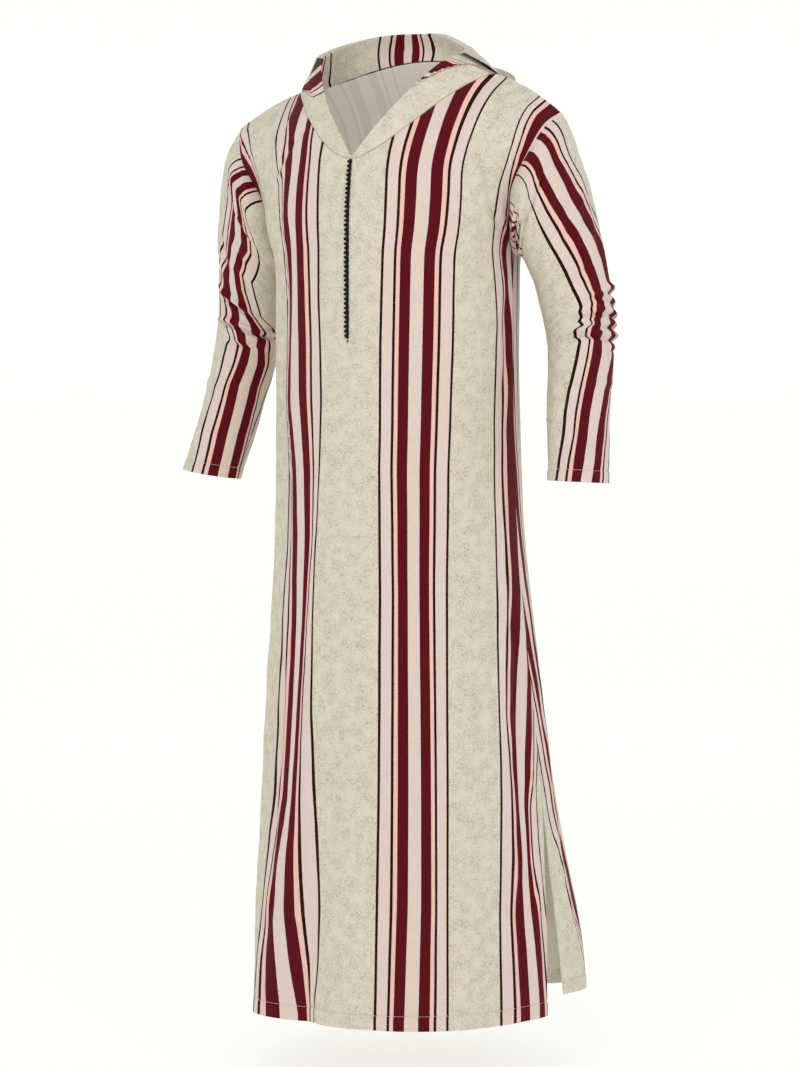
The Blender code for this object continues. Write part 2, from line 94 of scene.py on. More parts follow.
def set_inputs(tree, node, inputs):
    """Gives each named socket its value, or a link from another node's output."""
    for socket, value in inputs.items():
        if isinstance(value, bpy.types.NodeSocket):
            tree.links.new(value, node.inputs[socket])
        else:
            node.inputs[socket].default_value = value


def add_node(tree, kind, inputs, **settings):
    """A node with its settings and links."""
    made = tree.nodes.new(kind)
    for name, value in settings.items():
        setattr(made, name, value)
    set_inputs(tree, made, inputs)
    return made


def new_material(name):
    material = bpy.data.materials.new(name)
    material.use_nodes = True
    return material, material.node_tree, material.node_tree.nodes["Principled BSDF"]


def printed_cotton(name, right_side):
    """Printed plain-woven cotton: matte with a faint bloom, its weave just visible. The print
    is strong on the right side and only ghosts through on the wrong side."""
    material, tree, shader = new_material(name)
    place = add_node(tree, "ShaderNodeUVMap", {}, uv_map="cut").outputs["UV"]
    run = add_node(tree, "ShaderNodeUVMap", {}, uv_map="print").outputs["UV"]
    across = add_node(tree, "ShaderNodeSeparateXYZ", {"Vector": run}).outputs["X"]
    rough = {"Vector": place, "Scale": FRAY_SCALE, "Detail": 1.0}
    frayed = add_node(tree, "ShaderNodeTexNoise", rough).outputs["Fac"]
    inputs = {0: frayed, 1: FRAY, 2: across}
    across = add_node(tree, "ShaderNodeMath", inputs, operation="MULTIPLY_ADD").outputs[0]
    inputs = {0: across, 1: 1000 / REPEAT_MM}
    repeats = add_node(tree, "ShaderNodeMath", inputs, operation="MULTIPLY").outputs[0]
    part = add_node(tree, "ShaderNodeMath", {0: repeats}, operation="FRACT").outputs[0]
    ramp = add_node(tree, "ShaderNodeValToRGB", {"Fac": part})
    ramp.color_ramp.interpolation = "CONSTANT"
    stops = ramp.color_ramp.elements
    while len(stops) > 1:
        stops.remove(stops[-1])
    for number, (colour, start) in enumerate(STRIPES_MM):
        stop = stops[0] if number == 0 else stops.new(start / REPEAT_MM)
        stop.position = start / REPEAT_MM
        # The stop's alpha says where the fleck shows: on the oatmeal panels, and a little on pale.
        stop.color = (*linear(PRINT_COLOURS[colour])[:3], FLECK_SHOWS.get(colour, 0.0))

    bends = {"Vector": place, "Scale": FLECK_BEND_SCALE, "Detail": 2.0}
    bent = add_node(tree, "ShaderNodeTexNoise", bends).outputs["Color"]
    inputs = {0: bent, 1: (FLECK_BEND, FLECK_BEND, 0.0), 2: place}
    moved = add_node(tree, "ShaderNodeVectorMath", inputs, operation="MULTIPLY_ADD").outputs[0]
    inputs = {"Vector": moved, "Scale": FLECK_SCALE}
    cells = add_node(tree, "ShaderNodeTexVoronoi", inputs, feature="DISTANCE_TO_EDGE")
    inputs = {"Value": cells.outputs["Distance"], "From Min": 0.0, "From Max": FLECK_LINE}
    inputs |= {"To Min": FLECK_STRENGTH, "To Max": 0.0}
    curls = add_node(tree, "ShaderNodeMapRange", inputs).outputs[0]
    inputs = {"Vector": place, "Scale": PATCH_SCALE, "Detail": 3.0}
    patchy = add_node(tree, "ShaderNodeTexNoise", inputs).outputs["Fac"]
    inputs = {"Value": patchy, "From Min": 0.36, "From Max": 0.60, "To Min": 0.3, "To Max": 1.0}
    patches = add_node(tree, "ShaderNodeMapRange", inputs).outputs[0]
    grey = {0: curls, 1: patches}
    grey = add_node(tree, "ShaderNodeMath", grey, operation="MULTIPLY").outputs[0]
    grey = {0: grey, 1: ramp.outputs["Alpha"]}
    grey = add_node(tree, "ShaderNodeMath", grey, operation="MULTIPLY").outputs[0]
    inputs = {"Factor": grey, 6: ramp.outputs["Color"], 7: linear(FLECK)}
    colour = add_node(tree, "ShaderNodeMix", inputs, data_type="RGBA").outputs[2]
    if not right_side:
        inputs = {"Factor": PRINT_GHOSTS, 6: linear(WRONG_SIDE), 7: colour}
        colour = add_node(tree, "ShaderNodeMix", inputs, data_type="RGBA").outputs[2]

    thread = {"Vector": place, "Scale": WEAVE_SCALE, "Distortion": 1.5, "Detail": 1.0}
    warp, weft = (
        add_node(tree, "ShaderNodeTexWave", thread, bands_direction=way).outputs["Fac"]
        for way in "XY"
    )
    inputs = {0: warp, 1: weft}
    weave = add_node(tree, "ShaderNodeMath", inputs, operation="MAXIMUM").outputs[0]
    inputs = {"Height": weave, "Strength": 0.18, "Distance": WEAVE_RELIEF}
    bump = add_node(tree, "ShaderNodeBump", inputs)
    inputs = {"Base Color": colour, "Normal": bump.outputs["Normal"], "Roughness": 0.86}
    inputs |= {"Specular IOR Level": 0.10, "Sheen Weight": 0.04, "Sheen Roughness": 0.5}
    set_inputs(tree, shader, inputs)
    return material


cotton = printed_cotton("printed_cotton", True)
cotton_wrong_side = printed_cotton("printed_cotton_wrong_side", False)

# ---- Front and back panels ------------------------------------------------------------------
# Two wide panels, front and back, joined at the shoulders and down the sides as far as the
# slits. They hang from the shoulders and widen towards the hem.
ROBE_LENGTH = 1.375
ARMPIT_DROP = 0.262
SLIT_LENGTH = 0.31
SEAM_DRIFT = math.radians(7)
SLIT_TURN = {"front": math.radians(2.5), "back": math.radians(6.0)}
HEM_RISE = {
    "front": {"left": 0.001, "right": 0.0},
    "back": {"left": 0.018, "right": 0.0},
}
HEM_LEVEL = 0.3
BACK_HEM_RISE = 0.008
HEM_TURNED = 0.021
# The raw edge that is turned in lies this far below the row of stitches.
RAW_EDGE = 0.001
HEM_STEP = 0.0006
STITCH_PULL = 0.0009
STITCH_PULL_REACH = 0.0022
NECK_HALF_WIDTH = 0.160
NECK_POINT_DEPTH = 0.135
NECK_MIDDLE = {"front": Vector((0, -0.040, 0.020)), "back": Vector((0, 0.074, 0.044))}
NECK_ROUND = 2.2
NECK_SHARE = 0.60
V_CURVE = 1.6
SHOULDER_TIP_X = 0.266
SHOULDER_SLOPE = 0.55
SHOULDER_TIP_DROP = {"left": 0.068, "right": 0.046}
YOKE_WRAP = math.radians(32)
SIDE_COLUMNS = 60
LOW_ROWS = 160
HEM_ROWS = 16
HEM_FINE = 0.032
HIGH_ROWS = 60
# Rows evened out on each side of the armpits' level, and how often.
WAIST_REACH = 9
WAIST_TURNS = 60

BODY_COLUMNS = ("z", "left", "right", "front", "back")
BODY_SECTIONS = (
    (-1.380, 0.212, 0.219, 0.178, 0.240),
    (-1.220, 0.207, 0.214, 0.174, 0.235),
    (-1.070, 0.203, 0.208, 0.170, 0.225),
    (-0.920, 0.199, 0.203, 0.168, 0.208),
    (-0.770, 0.195, 0.195, 0.166, 0.190),
    (-0.620, 0.190, 0.189, 0.161, 0.172),
    (-0.470, 0.188, 0.189, 0.157, 0.155),
    (-0.262, 0.188, 0.188, 0.157, 0.150),
)
# How fast a fold swells from its top, and what is left of it at its bottom.
FOLD_SWELLS = 2.2
FOLD_STAYS = 0.25
# Soft folds: turn, drift and spread in degrees round the body, then top, bottom and how far
# out in metres.
BODY_FOLDS = (
    (-54, 0, 11, -0.15, -1.15, -0.012),
    (-17, 0, 6, -0.95, -1.90, -0.011),
    (-42, 0, 13, -0.95, -1.90, 0.018),
    (108, 4, 26, -0.62, -1.75, 0.030),
    (118, 4, 15, -1.00, -1.75, 0.040),
    (168, -6, 16, -0.60, -1.60, -0.018),
    (-150, 6, 14, -0.55, -1.60, 0.020),
    (-118, 4, 12, -0.70, -1.60, -0.014),
)
ARMHOLE_COLUMNS = ("up", "x", "front", "back")
ARMHOLE = (
    (0.00, 0.188, 0.000, 0.000),
    (0.20, 0.197, 0.032, 0.040),
    (0.45, 0.206, 0.047, 0.062),
    (0.70, 0.235, 0.052, 0.060),
    (0.90, 0.253, 0.031, 0.034),
    (1.00, 0.266, 0.000, 0.000),
)
YOKE_COLUMNS = ("up", "front", "back", "rise")
YOKE_MIDDLE = (
    (0.00, 0.157, 0.150, 0.00),
    (0.25, 0.154, 0.150, 0.25),
    (0.50, 0.142, 0.142, 0.50),
    (0.75, 0.100, 0.118, 0.76),
    (1.00, 0.040, 0.074, 1.00),
)
# Every crease wanders: how far, and in how many radians to the metre, slowly and quickly.
CREASE_WANDERS = ((0.0035, 23), (0.002, 61))
CREASE_FADES = 3.2
CREASE_BANKS = 0.7
# Across a rolled fold, in its half widths: where the ridge and the groove lie, how wide each
# is, and how high.
ROLL_PROFILE = ((-0.55, 0.42, 1.0), (0.1, 0.26, -0.8))
# The cloth's own slow rise and fall: height, length and where the noise is read.
PANEL_WAVES = ((0.0009, 0.09, 3.0), (0.0004, 0.035, 8.0))
# The seams hold the cloth flat: how far in from the sides as a share of the half width, how
# many rows down from the top, and how far below the slit's end they let go.
SIDE_HOLDS = 0.07
TOP_HOLDS = 8
SLIT_FREES = 0.09
# Creases pressed and pulled into each panel: across and height on the cloth at one end, the
# same at the other, half width, and how far the middle stands out, - for a trough. All in mm.
PANEL_CREASES = {
    "front": (
        (-163, -270, -170, -640, 11, -5.0),
        (-150, -500, -166, -1000, 9, -3.0),
        (-128, -760, -152, -1420, 12, -5.0),
        (-62, -820, -66, -1420, 14, 3.0),
        (-205, -700, -232, -1420, 13, 5.0),
        (-262, -820, -286, -1420, 14, -6.0),
        (262, -285, 236, -520, 12, -4.0),
        (243, -560, 255, -1000, 10, 3.5),
        (262, -700, 282, -1420, 11, -4.5),
        (226, -640, 230, -1120, 9, -2.5),
        (296, -840, 316, -1420, 12, 4.0),
        (-120, -60, -190, -150, 8, -2.2),
        (-150, -110, -205, -215, 8, 2.0),
        (-185, -150, -240, -262, 9, -2.6),
        (140, -40, 215, -190, 13, 2.6),
        (196, -70, 232, -230, 10, -3.0),
        (226, -200, 258, -262, 7, 2.5),
        (218, -204, 232, -240, 6, -3.0),
        (60, -300, 64, -900, 20, 1.6),
        (0, -900, 6, -1420, 24, 1.8),
        (120, -900, 128, -1420, 18, -1.6),
    ),
    "back": (
        (-60, -160, -44, -1250, 26, 3.0),
        (52, -260, 80, -1380, 24, -3.0),
        (-150, -300, -190, -1380, 20, -4.0),
        (150, -300, 176, -1380, 22, 4.0),
        (-214, -340, -262, -1380, 15, 4.5),
        (226, -420, 268, -1380, 13, -4.0),
        (286, -700, 316, -1420, 12, 4.5),
        (-300, -760, -322, -1420, 12, -4.5),
        (110, -740, 118, -1400, 18, 3.0),
        (-104, -800, -116, -1400, 18, -3.5),
        (-20, -900, -12, -1400, 22, -3.0),
        (180, -110, 240, -250, 12, -3.0),
        (-176, -110, -236, -250, 12, -3.0),
        (177, -1060, 172, -1440, 9, -7.0),
        (195, -1070, 192, -1440, 8, 7.0),
        (213, -1060, 214, -1440, 9, -6.0),
    ),
}

# Where the stripes run. The cloth was cut and hung a little off its grain and is gathered into
# folds, so the print wanders: for each height, the place on the cloth (mm from the middle) of
# the stripes' edges named in the first row (mm on the print).
FRONT_STRIPES = (
    (
        (-291.4, -275.9, -268.8, -249.1),
        (-45, -310, -292, -280, -259),
        (-65, -300, -285, -270, -252),
        (-86, -292, -270, -257, -247),
        (-107, -288, -257, -247, -243),
        (-127, -286, -249, -245, -242),
        (-150, -286, -254, -251, -249),
        (-166, -286, -260, -257, -255),
        (-185, -300, -285, -284, -283),
        (-262, -360, -350, -345, -340),
        (-1375, -430, -420, -410, -400),
    ),
    (
        (-150.9, -131.2, -124.1, -108.6, -91.4, -75.9, -68.8, -49.1),
        (20, -190, -182, -178, -138, -116, -104, -98, -68),
        (-45, -188, -175, -171, -137, -116, -103, -98, -66),
        (-75, -188, -160, -154, -136, -116, -103, -97, -66),
        (-95, -186, -157, -148, -138, -115, -101, -95, -66),
        (-130, -179, -168, -152, -132, -113, -96, -88, -66),
        (-166, -164, -152, -147, -130, -111, -93, -84, -61),
        (-197, -147, -139, -136, -124, -103, -87, -79, -56),
        (-237, -135, -133, -131, -112, -100, -84, -74, -53),
        (-270, -135, -131, -126, -113, -101, -84, -73, -53),
        (-330, -125, -122, -119, -113, -99, -81, -70, -53),
        (-400, -128, -126, -123, -117, -97, -78, -68, -50),
        (-480, -136, -134, -132, -119, -95, -77, -67, -48),
        (-580, -118, -114, -111, -99, -82, -67, -60, -50),
        (-690, -119, -112, -106, -93, -77, -66, -61, -56),
        (-800, -135, -114, -104, -92, -80, -73, -70, -59),
        (-920, -145, -125, -111, -99, -90, -82, -79, -59),
        (-1060, -152, -130, -121, -108, -101, -91, -84, -51),
        (-1140, -154, -146, -141, -124, -110, -93, -82, -45),
        (-1220, -158, -152, -147, -134, -111, -90, -75, -42),
        (-1290, -168, -157, -148, -123, -100, -76, -65, -46),
        (-1360, -176, -160, -141, -113, -84, -69, -62, -58),
    ),
    (
        (49.1, 68.8, 83.65, 116.35, 131.2, 150.9),
        (20, 70, 95, 115, 152, 170, 190),
        (-90, 68, 92, 112, 148, 167, 186),
        (-130, 65, 88, 109, 147, 167, 186),
        (-170, 60, 81, 100, 140, 161, 182),
        (-215, 56, 75, 92, 129, 148, 169),
        (-270, 52, 70, 85, 119, 135, 156),
        (-400, 48, 67, 82, 116, 132, 153),
        (-580, 48, 66, 81, 113, 128, 148),
        (-760, 52, 71, 85, 115, 129, 148),
        (-1000, 52, 71, 87, 119, 133, 150),
        (-1200, 51, 72, 88, 122, 136, 152),
        (-1360, 50, 69, 84, 120, 136, 154),
    ),
    (
        (249.1, 268.8, 275.9, 291.4, 308.6, 324.1, 331.2, 350.9),
        (20, 234, 241, 247, 262, 278, 292, 298, 316),
        (-82, 241, 249, 255, 271, 288, 303, 310, 329),
        (-108, 245, 254, 259, 277, 294, 309, 316, 335),
        (-134, 249, 257, 262, 279, 296, 311, 318, 337),
        (-155, 252, 262, 268, 284, 300, 315, 322, 341),
        (-193, 243, 270, 276, 292, 308, 323, 330, 349),
        (-212, 234, 262, 270, 288, 304, 319, 326, 345),
        (-231, 228, 250, 257, 274, 290, 305, 312, 331),
        (-258, 217, 232, 235, 249, 262, 272, 279, 296),
        (-315, 225, 244, 248, 258, 268, 283, 290, 309),
        (-370, 229, 242, 252, 270, 286, 301, 308, 328),
        (-400, 226, 246, 254, 271, 288, 303, 310, 330),
        (-450, 224, 247, 257, 275, 292, 307, 314, 334),
        (-520, 223, 240, 250, 279, 296, 311, 318, 338),
        (-620, 226, 242, 256, 285, 300, 312, 319, 339),
        (-760, 233, 251, 267, 292, 303, 316, 323, 343),
        (-880, 233, 245, 253, 277, 301, 312, 318, 330),
        (-940, 236, 247, 252, 272, 290, 307, 312, 324),
        (-1000, 237, 253, 262, 270, 283, 295, 305, 318),
        (-1060, 237, 257, 264, 275, 284, 290, 294, 306),
        (-1140, 236, 259, 271, 283, 289, 294, 297, 314),
        (-1220, 235, 255, 265, 284, 296, 308, 318, 332),
        (-1290, 237, 261, 272, 290, 305, 321, 329, 345),
        (-1360, 238, 264, 275, 295, 314, 328, 335, 354),
    ),
)
BACK_STRIPES = (
    (
        (0.0, 150.9, 249.1),
        (-300, 0, 151, 249),
        (-900, 0, 151, 240),
        (-1200, 0, 151, 236),
        (-1375, 0, 151, 212),
    ),
    (
        (308.6, 324.1, 331.2, 350.9),
        (-300, 309, 324, 331, 351),
        (-900, 290, 305, 311, 326),
        (-1080, 289, 304, 310, 324),
        (-1150, 292, 305, 312, 321),
        (-1236, 290, 303, 311, 321),
        (-1285, 276, 290, 296, 306),
        (-1328, 262, 274, 281, 288),
        (-1375, 250, 262, 270, 276),
    ),
)


def ease(share):
    share = min(1, max(0, share))
    return share * share * (3 - 2 * share)


def column_at(rows, columns, key, name, at):
    """The named column where column key is at, on a smooth curve through the rows."""
    k, n = columns.index(key), columns.index(name)
    last = len(rows) - 1
    at = min(rows[last][k], max(rows[0][k], at))
    i = 0
    while i < last - 1 and rows[i + 1][k] < at:
        i += 1
    span = rows[i + 1][k] - rows[i][k]

    def slope(j):
        low, high = max(0, j - 1), min(last, j + 1)
        return (rows[high][n] - rows[low][n]) / (rows[high][k] - rows[low][k])

    s = (at - rows[i][k]) / span
    start = (2 * s**3 - 3 * s**2 + 1) * rows[i][n] + (s**3 - 2 * s**2 + s) * span * slope(i)
    end = (3 * s**2 - 2 * s**3) * rows[i + 1][n] + (s**3 - s**2) * span * slope(i + 1)
    return start + end


def fold_out(turn, z):
    """How far all the soft folds together push the cloth out."""
    total = 0
    for middle, drift, spread, top, bottom, out in BODY_FOLDS:
        down = (top - z) / (top - bottom)
        if down > 0:
            away = (math.degrees(turn) - middle - drift * down + 180) % 360 - 180
            swell = ease(FOLD_SWELLS * down) * ease(FOLD_SWELLS * (1 - down) + FOLD_STAYS)
            total += out * swell * math.exp(-((away / spread) ** 2))
    return total


def body_point(turn, z):
    """The cloth's outer surface below the armpits, at an angle from the front's middle."""
    side, face = "left" if turn > 0 else "right", "front" if math.cos(turn) > 0 else "back"
    across = column_at(BODY_SECTIONS, BODY_COLUMNS, "z", side, z) + fold_out(turn, z)
    deep = column_at(BODY_SECTIONS, BODY_COLUMNS, "z", face, z) + fold_out(turn, z)
    return Vector((across * math.sin(turn), -deep * math.cos(turn), z))


def armhole_point(side, face, up):
    x = column_at(ARMHOLE, ARMHOLE_COLUMNS, "up", "x", up)
    y = column_at(ARMHOLE, ARMHOLE_COLUMNS, "up", face, up)
    z = -ARMPIT_DROP + up * (ARMPIT_DROP - SHOULDER_TIP_DROP[side])
    return Vector((x if side == "left" else -x, -y if face == "front" else y, z))


def shoulder_line(side, face, share):
    """A half panel's top edge, from inside the neck opening (0) to the shoulder's tip (1)."""
    sign = 1 if side == "left" else -1
    if share >= NECK_SHARE:
        along = (share - NECK_SHARE) / (1 - NECK_SHARE)
        x = NECK_HALF_WIDTH + along * (SHOULDER_TIP_X - NECK_HALF_WIDTH)
        fall = SHOULDER_SLOPE * along + (1 - SHOULDER_SLOPE) * along**2
        return Vector((sign * x, 0, -SHOULDER_TIP_DROP[side] * fall))
    inward = share / NECK_SHARE
    middle = NECK_MIDDLE[face]
    y = middle.y * math.sqrt(max(0, 1 - inward**NECK_ROUND))
    return Vector((sign * NECK_HALF_WIDTH * inward, y, middle.z * (1 - inward**2)))


def yoke_point(side, face, share, up):
    """A half panel above the armpit: share 0 to 1 from the middle to the armhole."""
    sign = 1 if side == "left" else -1

    def wrapped(edge, middle_y, middle_z, wrap):
        angle = share * wrap
        x = abs(edge.x) * math.sin(angle) / math.sin(wrap)
        y = middle_y + (edge.y - middle_y) * (1 - math.cos(angle)) / (1 - math.cos(wrap))
        return Vector((sign * x, y, middle_z + (edge.z - middle_z) * share**2))

    middle_y = column_at(YOKE_MIDDLE, YOKE_COLUMNS, "up", face, up)
    if face == "front":
        middle_y = -middle_y
    middle = shoulder_line(side, face, 0)
    rise = column_at(YOKE_MIDDLE, YOKE_COLUMNS, "up", "rise", up)
    middle_z = -ARMPIT_DROP + rise * (ARMPIT_DROP + middle.z)
    wrap = math.pi / 2 + (YOKE_WRAP - math.pi / 2) * ease(up)
    point = wrapped(armhole_point(side, face, up), middle_y, middle_z, wrap)
    at_top = wrapped(armhole_point(side, face, 1), middle.y, middle.z, YOKE_WRAP)
    return point + (shoulder_line(side, face, share) - at_top) * up**3


def neck_top(face, share):
    """How high a column reaches above the armpit: 1 is the shoulder line."""
    if face == "back" or share >= NECK_SHARE:
        return 1
    low = (ARMPIT_DROP - NECK_POINT_DEPTH) / (ARMPIT_DROP + NECK_MIDDLE["front"].z)
    return low + (1 - low) * (share / NECK_SHARE) ** V_CURVE


def panel_point(face, share, low, high=0):
    """share -1 to 1 from the wearer's right seam to the left; low 0 to 1 from the hem to the
    armpit, then high 0 to 1 up to the shoulder or the neck."""
    side = "left" if share > 0 else "right"
    if high > 0:
        return yoke_point(side, face, abs(share), high * neck_top(face, abs(share)))
    rise = HEM_RISE[face][side] * ease((abs(share) - HEM_LEVEL) / (1 - HEM_LEVEL))
    hem = -ROBE_LENGTH + rise + (BACK_HEM_RISE if face == "back" else 0)
    z = hem + low * (-ARMPIT_DROP - hem)
    opened = max(0, (z + ROBE_LENGTH - SLIT_LENGTH) / -SLIT_LENGTH)
    drift = SEAM_DRIFT * ease(1 - low)
    if face == "front":
        turn = share * (math.pi / 2 + drift - SLIT_TURN["front"] * opened)
    else:
        turn = math.pi - share * (math.pi / 2 - drift - SLIT_TURN["back"] * opened)
    return body_point(math.remainder(turn, 2 * math.pi), z)


def panel_grid(face):
    """Rows of points from the hem up, each from the wearer's right to the left."""
    shares = [j / SIDE_COLUMNS for j in range(-SIDE_COLUMNS, SIDE_COLUMNS + 1)]
    fine = HEM_FINE / (ROBE_LENGTH - ARMPIT_DROP)
    near_hem = np.linspace(0, fine, HEM_ROWS, endpoint=False)
    above = np.linspace(fine, 1, LOW_ROWS + 1 - HEM_ROWS)
    rows = [[panel_point(face, s, low) for s in shares] for low in (*near_hem, *above)]
    for i in range(1, HIGH_ROWS + 1):
        up = (1 - math.cos(math.pi * i / HIGH_ROWS)) / 2
        rows.append([panel_point(face, s, 1, up) for s in shares])
    return np.array(rows)


def lengths_along(points, axis, start):
    """Distance along each row (axis 1) or column (axis 0), counted from index start."""
    steps = np.linalg.norm(np.diff(points, axis=axis), axis=2)
    total = np.concatenate([np.zeros_like(np.take(steps, [0], axis)), np.cumsum(steps, axis)], axis)
    return total - np.take(total, [start], axis)


def grid_normals(points, around=False):
    """Unit normals of a grid whose rows go up and whose points go left to right from outside."""
    if around:
        across = np.roll(points, -1, axis=1) - np.roll(points, 1, axis=1)
    else:
        across = np.gradient(points, axis=1)
    normals = np.cross(across, np.gradient(points, axis=0))
    return normals / np.maximum(np.linalg.norm(normals, axis=2, keepdims=True), 1e-9)


def crease_relief(across, height, creases, rolled=False):
    """How far the creases push each point out, in metres; across and height are in metres.
    A rolled one is a fold that tips over on itself, with a groove along its right-hand side."""
    relief = np.zeros_like(across)
    for across_1, height_1, across_2, height_2, wide, out in creases:
        start = np.array((across_1, height_1)) / 1000
        run = np.array((across_2, height_2)) / 1000 - start
        length = np.linalg.norm(run)
        run = run / length
        along = (across - start[0]) * run[0] + (height - start[1]) * run[1]
        aside = (across - start[0]) * run[1] - (height - start[1]) * run[0]
        for (far, radians), start_of_wave in zip(CREASE_WANDERS, (across_1, wide)):
            aside = aside + far * np.sin(along * radians + start_of_wave)
        share = np.clip(along / length, 0, 1)
        fade = np.clip(np.minimum(share, 1 - share) * CREASE_FADES, 0, 1)
        fade = fade * fade * (3 - 2 * fade) * ((along > 0) & (along < length))
        aside = aside / (wide / 1000)
        if rolled:
            form = sum(h * np.exp(-(((aside - at) / w) ** 2)) for at, w, h in ROLL_PROFILE)
        else:
            form = (1 - CREASE_BANKS * aside**2) * np.exp(-(aside**2))
        relief += out / 1000 * fade * form
    return relief


def hem_relief(from_edge, turned):
    """A turned hem is twice as thick, and its line of stitches pulls in a groove."""
    groove = np.exp(-(((from_edge - turned) / STITCH_PULL_REACH) ** 2))
    return HEM_STEP * (from_edge < turned) - STITCH_PULL * groove


def unevenness(points, waves):
    """Slow rise and fall, the same on each run: each wave has a height, a length and a seed."""
    total = np.zeros(points.shape[:2])
    for high, size, seed in waves:
        place = Vector((seed, 0, 0))
        values = [noise.noise(Vector(p) / size + place) for p in points.reshape(-1, 3)]
        total += high * np.array(values).reshape(total.shape)
    return total


def print_place(place, height, groups, soften=30):
    """Each point's place on the print, from its place on the cloth, all in metres. The lines
    of the table are evened out over soften steps of 2 mm."""
    fine = np.arange(-1500, 101, 2.0)
    stops, edges = [], []
    for named, *rows in groups:
        table = np.array(rows, dtype=float)
        table = table[np.argsort(table[:, 0])]
        for number, stop in enumerate(named):
            line = np.interp(fine, table[:, 0], table[:, number + 1])
            ends = np.pad(line, soften // 2, mode="edge")
            kernel = np.hanning(2 * (soften // 2) + 1)
            line = np.convolve(ends, kernel / kernel.sum(), mode="valid")
            stops.append(stop)
            edges.append(np.interp(height * 1000, fine, line))
    order = np.argsort(stops)
    stops, edges = np.array(stops)[order], np.maximum.accumulate(np.array(edges)[order], axis=0)
    u = place * 1000
    result = np.where(u < edges[0], stops[0] + u - edges[0], stops[-1] + u - edges[-1])
    for k in range(len(stops) - 1):
        width = np.maximum(edges[k + 1] - edges[k], 1e-3)
        here = (u >= edges[k]) & (u < edges[k + 1])
        share = (u - edges[k]) / width
        result = np.where(here, stops[k] + share * (stops[k + 1] - stops[k]), result)
    return result / 1000


def placed(name, data):
    """An object with this mesh, camera or lamp, put into the scene."""
    made = bpy.data.objects.new(name, data)
    bpy.context.scene.collection.objects.link(made)
    return made


def sewn_shell(name, outside, normals, cut, printed, turned=(), around=False, flip=False):
    """A closed thin shell under a grid. One UV map is its flat cut and the other is its place
    on the print, both in metres. Rows in turned show the print on the inside too."""
    high, wide = outside.shape[:2]
    inside = outside - normals * CLOTH_THICKNESS
    points = np.concatenate([outside.reshape(-1, 3), inside.reshape(-1, 3)])
    number = np.arange(high * wide).reshape(high, wide)
    columns = wide if around else wide - 1
    faces, kinds = [], []
    for j in range(columns):
        k = (j + 1) % wide
        for i in range(high - 1):
            a, b, c, d = number[i, j], number[i, k], number[i + 1, k], number[i + 1, j]
            faces.append((a, b, c, d))
            faces.append(tuple(high * wide + n for n in (d, c, b, a)))
            kinds += [0, 0 if i in turned else 1]
        for i, last in ((0, False), (high - 1, True)):
            a, b = number[i, j], number[i, k]
            rim = (b, a, a + high * wide, b + high * wide)
            faces.append(rim[::-1] if last else rim)
            kinds.append(0)
    if not around:
        for i in range(high - 1):
            for j, last in ((0, False), (wide - 1, True)):
                a, b = number[i, j], number[i + 1, j]
                rim = (a, b, b + high * wide, a + high * wide)
                faces.append(rim[::-1] if last else rim)
                kinds.append(0)
    if flip:
        faces = [face[::-1] for face in faces]
    mesh = bpy.data.meshes.new(name)
    mesh.from_pydata(points.tolist(), [], [[int(n) for n in face] for face in faces])
    corners = np.array([n for face in faces for n in face])
    flat = np.concatenate([cut.reshape(-1, 2)] * 2)[corners]
    run = np.concatenate([printed.reshape(-1)] * 2)[corners]
    if around:
        # The last column's faces run on round the tube, past the first column's place.
        step = np.linalg.norm(outside[:, 0] - outside[:, -1], axis=1)
        row, column = (corners % (high * wide)) // wide, corners % wide
        face_of = np.repeat(np.arange(len(faces)), 4)
        on_last = np.zeros(len(faces), dtype=bool)
        np.logical_or.at(on_last, face_of, column == wide - 1)
        wraps = on_last[face_of] & (column == 0)
        flat[wraps, 0] = (cut[:, -1, 0] + step)[row[wraps]]
        run[wraps] = (printed[:, -1] + (printed[:, -1] - printed[:, -2]))[row[wraps]]
    mesh.uv_layers.new(name="cut").data.foreach_set("uv", flat.ravel())
    across_print = np.stack([run, np.zeros_like(run)], axis=1)
    mesh.uv_layers.new(name="print").data.foreach_set("uv", across_print.ravel())
    mesh.polygons.foreach_set("material_index", kinds)
    mesh.materials.append(cotton)
    mesh.materials.append(cotton_wrong_side)
    mesh.shade_smooth()
    mesh.set_sharp_from_angle(angle=math.radians(60))
    piece = placed(name, mesh)
    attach(piece, "root")
    return piece


def smoothed_rows(points, row, reach, turns):
    """Evens out the panel where the body meets the yoke, leaving its edges alone."""
    rows = np.arange(points.shape[0])
    weight = np.exp(-(((rows - row) / reach) ** 2))[1:-1, None, None] * 0.5
    for _ in range(turns):
        mean = (points[:-2] + points[2:]) / 2
        middle = points[1:-1] + (mean - points[1:-1]) * weight
        middle[:, 0], middle[:, -1] = points[1:-1, 0], points[1:-1, -1]
        points = np.concatenate([points[:1], middle, points[-1:]])
    return points


